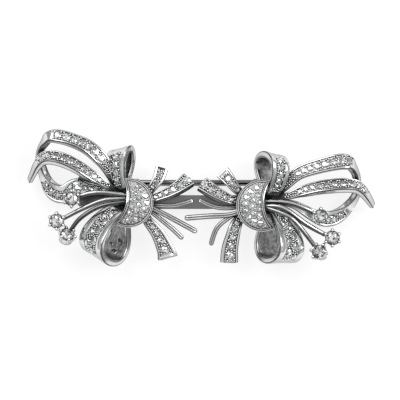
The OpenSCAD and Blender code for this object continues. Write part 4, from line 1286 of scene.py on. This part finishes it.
# %% Build the frame
RAIL_D, PLATE_T, PLATE_Z, PLATE_R = 1.1, 0.85, 2.5, 3.3
LEFT_PLATE, RIGHT_PLATE = (-15, -0.6), (12.8, -1.0)
RAIL_Y, BAR_Y, BAR_W = 3.2, -1.05, 3
CORNER_R, BAR_EDGE, PLATE_EDGE, BACK_REACH = 0.1, 0.12, 0.15, 0.3


def rounded_box(x0, y0, x1, y1, r, steps=4):
    """The outline of a flat box with each corner rounded by r."""
    points = [np.array(p, float) for p in ((x0, y0), (x1, y0), (x1, y1), (x0, y1))]
    found = []
    for i, p in enumerate(points):
        to_a, to_b = unit(points[i - 1] - p), unit(points[(i + 1) % 4] - p)
        for t in (k / steps for k in range(steps + 1)):
            found.append((1 - t) ** 2 * (p + r * to_a) + 2 * t * (1 - t) * p + t * t * (p + r * to_b))
    return found


def slab(points, low, high, edge=0.1):
    """A flat shape between two heights, with its top and bottom edges rounded off."""
    middle = np.mean(points, axis=0)

    def ring(inset, h):
        return [np.array([*(p + unit(middle - p) * inset), h]) for p in points]

    return skin([ring(edge, low), ring(0.3 * edge, low + 0.3 * edge), ring(0, low + edge),
                 ring(0, high - edge), ring(0.3 * edge, high - 0.3 * edge), ring(edge, high)])


def disc(x, y, r, count=96):
    return circle(np.array([x, y]), np.array([1, 0]), np.array([0, 1]), r, count)


def rod(start, end, r, point=0.0):
    """A round rod with domed ends. point is the length that tapers to a sharp tip."""
    start, end = np.array(start, float), np.array(end, float)
    along, side, up = axes_along(start, end, [0.1, 0.2, 0.9])
    line = [(start + along * r * (1 + sin(a)), r * cos(a)) for a in (-85, -60, -35, 0)]
    if point:
        line += [(end - along * point * (1 - t), r * (1 - 0.9 * t**1.6)) for t in np.linspace(0, 0.97, 9)]
        line += [(end, 0.04 * r)]
    else:
        line += [(end - along * r * (1 - sin(a)), r * cos(a)) for a in (0, 35, 60, 85)]
    return skin([circle(at, side, up, q, 32) for at, q in line])


def joined(name, shells, nodes):
    """One piece: the union of closed shells."""
    piece, *others = [new_object(name, *shell) for shell in shells]
    for other in others:
        step = piece.modifiers.new("join", "BOOLEAN")
        step.operation = "UNION"
        step.solver = "EXACT"
        step.object = other
    mesh = evaluated(piece)
    for other in others:
        bpy.data.objects.remove(other)
    places = np.array([v.co for v in mesh.vertices], float) / MM
    lowest = places[:, 2].min()
    write_marks(mesh, [(0, 0.4 if z < lowest + BACK_REACH else 0, 0, 5 * x, 5 * y) for x, y, z in places])
    finish_piece(piece, frame_metal, "frame_metal", nodes)


low, high = PLATE_Z, PLATE_Z + PLATE_T
rail_z = high - RAIL_D / 2
bar = rounded_box(LEFT_PLATE[0], BAR_Y - BAR_W / 2, RIGHT_PLATE[0], BAR_Y + BAR_W / 2, CORNER_R)
joined("frame", [slab(bar, low, high, BAR_EDGE), slab(disc(*LEFT_PLATE, PLATE_R), low, high, PLATE_EDGE),
                 slab(disc(*RIGHT_PLATE, PLATE_R), low, high, PLATE_EDGE),
                 rod((LEFT_PLATE[0], RAIL_Y, rail_z), (RIGHT_PLATE[0], RAIL_Y, rail_z), RAIL_D / 2)],
       ["frame"])
print("frame:", made[-1])

# %% [markdown]
# ## The pin
# On the back a hinge holds a pointed steel pin between two cheeks, and its other end snaps into a
# catch. The photograph doesn't show them, so they follow the usual make: cheeks with a rivet, a coil
# eye, a tapered wire, and a C-shaped catch with a turning safety.

# %% Build the pin
PIN_Y, PIN_Z, PIN_D, PIN_SPAN, PIN_MIDDLE = 2.9, 0.95, 0.9, 27.6, -1.1
BLOCK_LOW, BLOCK_TOP, BLOCK_X, BLOCK_Y, BLOCK_R = 1.8, 2.15, 1.5, 1.1, 0.25
CHEEK_R, CHEEK_IN, CHEEK_OUT, EYE_R, EYE_Y, RIVET_R = 0.95, 0.5, 1.0, 0.68, 0.42, 0.3
POINT, TIP_PAST_CATCH, SAFETY_X = 5.0, 2.2, 1.05
hinge_x, catch_x = PIN_MIDDLE - PIN_SPAN / 2, PIN_MIDDLE + PIN_SPAN / 2


def upright(points, low, high, edge=0.08):
    """A slab that stands along Y: its outline is in X and Z."""
    shell, faces = slab(points, low, high, edge)
    return [np.array([p[0], p[2], p[1]]) for p in shell], faces


def block(x):
    """The block under the hinge or the catch."""
    box = rounded_box(x - BLOCK_X, PIN_Y - BLOCK_Y, x + BLOCK_X, PIN_Y + BLOCK_Y, BLOCK_R)
    return slab(box, BLOCK_LOW, BLOCK_TOP)


def open_ring(x, width, inner, outer, start, stop, steps=40):
    """A bent strip round the pin's axis, as wide as width along X."""
    rings = []
    for i in range(steps + 1):
        a = mix(start, stop, i / steps)
        rings.append([np.array([x + dx, PIN_Y + r * cos(a), PIN_Z + r * sin(a)])
                      for dx, r in ((-width / 2, inner), (width / 2, inner), (width / 2, outer),
                                    (-width / 2, outer))])
    return skin(rings)


cheek = [np.array([hinge_x + CHEEK_R * cos(a), PIN_Z + CHEEK_R * sin(a)]) for a in range(-180, 1, 12)]
cheek += [np.array([hinge_x + CHEEK_R, BLOCK_TOP]), np.array([hinge_x - CHEEK_R, BLOCK_TOP])]
joined("pin_hinge", [block(hinge_x), upright(cheek, PIN_Y - CHEEK_OUT, PIN_Y - CHEEK_IN),
                     upright(cheek, PIN_Y + CHEEK_IN, PIN_Y + CHEEK_OUT),
                     rod((hinge_x, PIN_Y - BLOCK_Y, PIN_Z), (hinge_x, PIN_Y + BLOCK_Y, PIN_Z), RIVET_R)],
       ["pin"])
joined("pin_wire", [upright(disc(hinge_x, PIN_Z, EYE_R, 30), PIN_Y - EYE_Y, PIN_Y + EYE_Y, BAR_EDGE),
                    rod((hinge_x, PIN_Y, PIN_Z), (catch_x + TIP_PAST_CATCH, PIN_Y, PIN_Z), PIN_D / 2, POINT)],
       ["pin"])
joined("pin_catch", [block(catch_x), open_ring(catch_x, 1.5, 0.62, 0.95, -45, 200)], ["pin"])
joined("pin_safety", [open_ring(catch_x + SAFETY_X, 0.4, 0.5, 0.92, -60, 230)], ["pin"])
print("pin:", made[-4:])

# %% [markdown]
# ## Floor, light and camera
# The brooch lies on a pale sheet in a bright tent, the usual way to photograph polished metal. Metal
# shows only what it mirrors: a white tent makes it light, and the dark band between the tent and the
# sheet draws the thin dark lines along every rounded edge. The tent has brighter and duller panels,
# and it is weaker low down, towards the lower edge of the picture and a little round the lens. The
# sheet glows, which keeps shadows faint, and some light comes from under it, for views of the back.
# The camera looks straight down with a long lens.

# %% Floor
SHEET_SIZE, SHEET_GAP, SHEET_GRAIN = 0.6, 0.03 * MM, 900.0
floor_material = bpy.data.materials.new("pale_sheet")
flow = new_flow(floor_material)
where = flow.add("ShaderNodeTexCoord", out=3)
paper = noise(flow, where, SHEET_GRAIN, 3.0)
shade = 0.2 + 0.02 * paper
floor_colour = flow.add("ShaderNodeCombineColor", {0: shade, 1: shade, 2: shade})
floor_shader = flow.add("ShaderNodeBsdfPrincipled", {
    "Base Color": floor_colour, "Roughness": 0.9, "Emission Color": (1, 1, 1, 1), "Emission Strength": 0.8})
flow.add("ShaderNodeOutputMaterial", {"Surface": floor_shader})
floor_mesh = bpy.data.meshes.new("floor")
shell = bmesh.new()
bmesh.ops.create_grid(shell, x_segments=8, y_segments=8, size=SHEET_SIZE)
shell.to_mesh(floor_mesh)
shell.free()
floor = bpy.data.objects.new("floor", floor_mesh)
floor.location = (0, 0, -SHEET_GAP)
floor_mesh.materials.append(floor_material)
bpy.context.scene.collection.objects.link(floor)
print("floor size, m:", tuple(floor.dimensions))

# %% Light
# Columns: name, place, size in metres, power in watts
LAMPS = [("key_box", (-0.25, 0.3, 0.45), 0.4, 1.2), ("fill_box", (0.35, 0.1, 0.4), 0.3, 1.3)]
world = bpy.data.worlds.new("light_tent")
bpy.context.scene.world = world
flow = new_flow(world)
direction = flow.add("ShaderNodeTexCoord", out=0)
height = part_of(flow, direction, 2)
near_wall = fade(part_of(flow, direction, 1), -0.9, -0.3)
tent = fade(height, -0.02, 0.2)
lens_gap = fade(height, 0.95, 0.985)
panels = fade(noise(flow, direction, 2.2, 0.0), 0.40, 0.56)
walls = (0.55 + 0.45 * panels) * (0.55 + 0.45 * fade(height, 0.1, 0.8)) * (0.5 + 0.5 * near_wall)
under = 1.0 - fade(height, -0.4, -0.05)
light = 0.05 + 0.95 * tent * walls * (1.0 - 0.12 * lens_gap) + 0.6 * under
glow = flow.add("ShaderNodeBackground", {"Strength": light})
plain = flow.add("ShaderNodeBackground", {"Strength": 0.95})
camera_ray = flow.add("ShaderNodeLightPath", out=0)
mixed = flow.add("ShaderNodeMixShader", {0: camera_ray, 1: glow, 2: plain})
flow.add("ShaderNodeOutputWorld", {"Surface": mixed})
for name, place, size, power in LAMPS:
    lamp = bpy.data.lights.new(name, "AREA")
    lamp.size = size
    lamp.energy = power
    box = bpy.data.objects.new(name, lamp)
    box.location = place
    lean = math.acos(place[2] / gap(place, (0, 0, 0)))
    box.rotation_euler = (lean, 0, math.atan2(-place[1], -place[0]) - math.pi / 2)
    bpy.context.scene.collection.objects.link(box)
bpy.context.scene.view_settings.view_transform = "Standard"
print("world:", world.name)

# %% Camera
SENSOR, CAMERA_HEIGHT, CAMERA_REACH, PICTURE_WIDTH = 36, 0.406, 0.400, 0.08576
camera_data = bpy.data.cameras.new("camera")
camera_data.sensor_width = SENSOR
camera_data.lens = SENSOR * CAMERA_REACH / PICTURE_WIDTH
camera = bpy.data.objects.new("camera", camera_data)
camera.location = (-0.000268, -0.0006, CAMERA_HEIGHT)
bpy.context.scene.collection.objects.link(camera)
bpy.context.scene.camera = camera
print("lens, mm:", round(camera_data.lens, 1))

# %% [markdown]
# ## Pieces and faces
# The dressed brooch should fill the same box as the CAD model. The last cell counts the pieces and their
# faces.

# %% Count the pieces and faces
print("pieces:", len(made), "faces:", sum(m[1] for m in made))
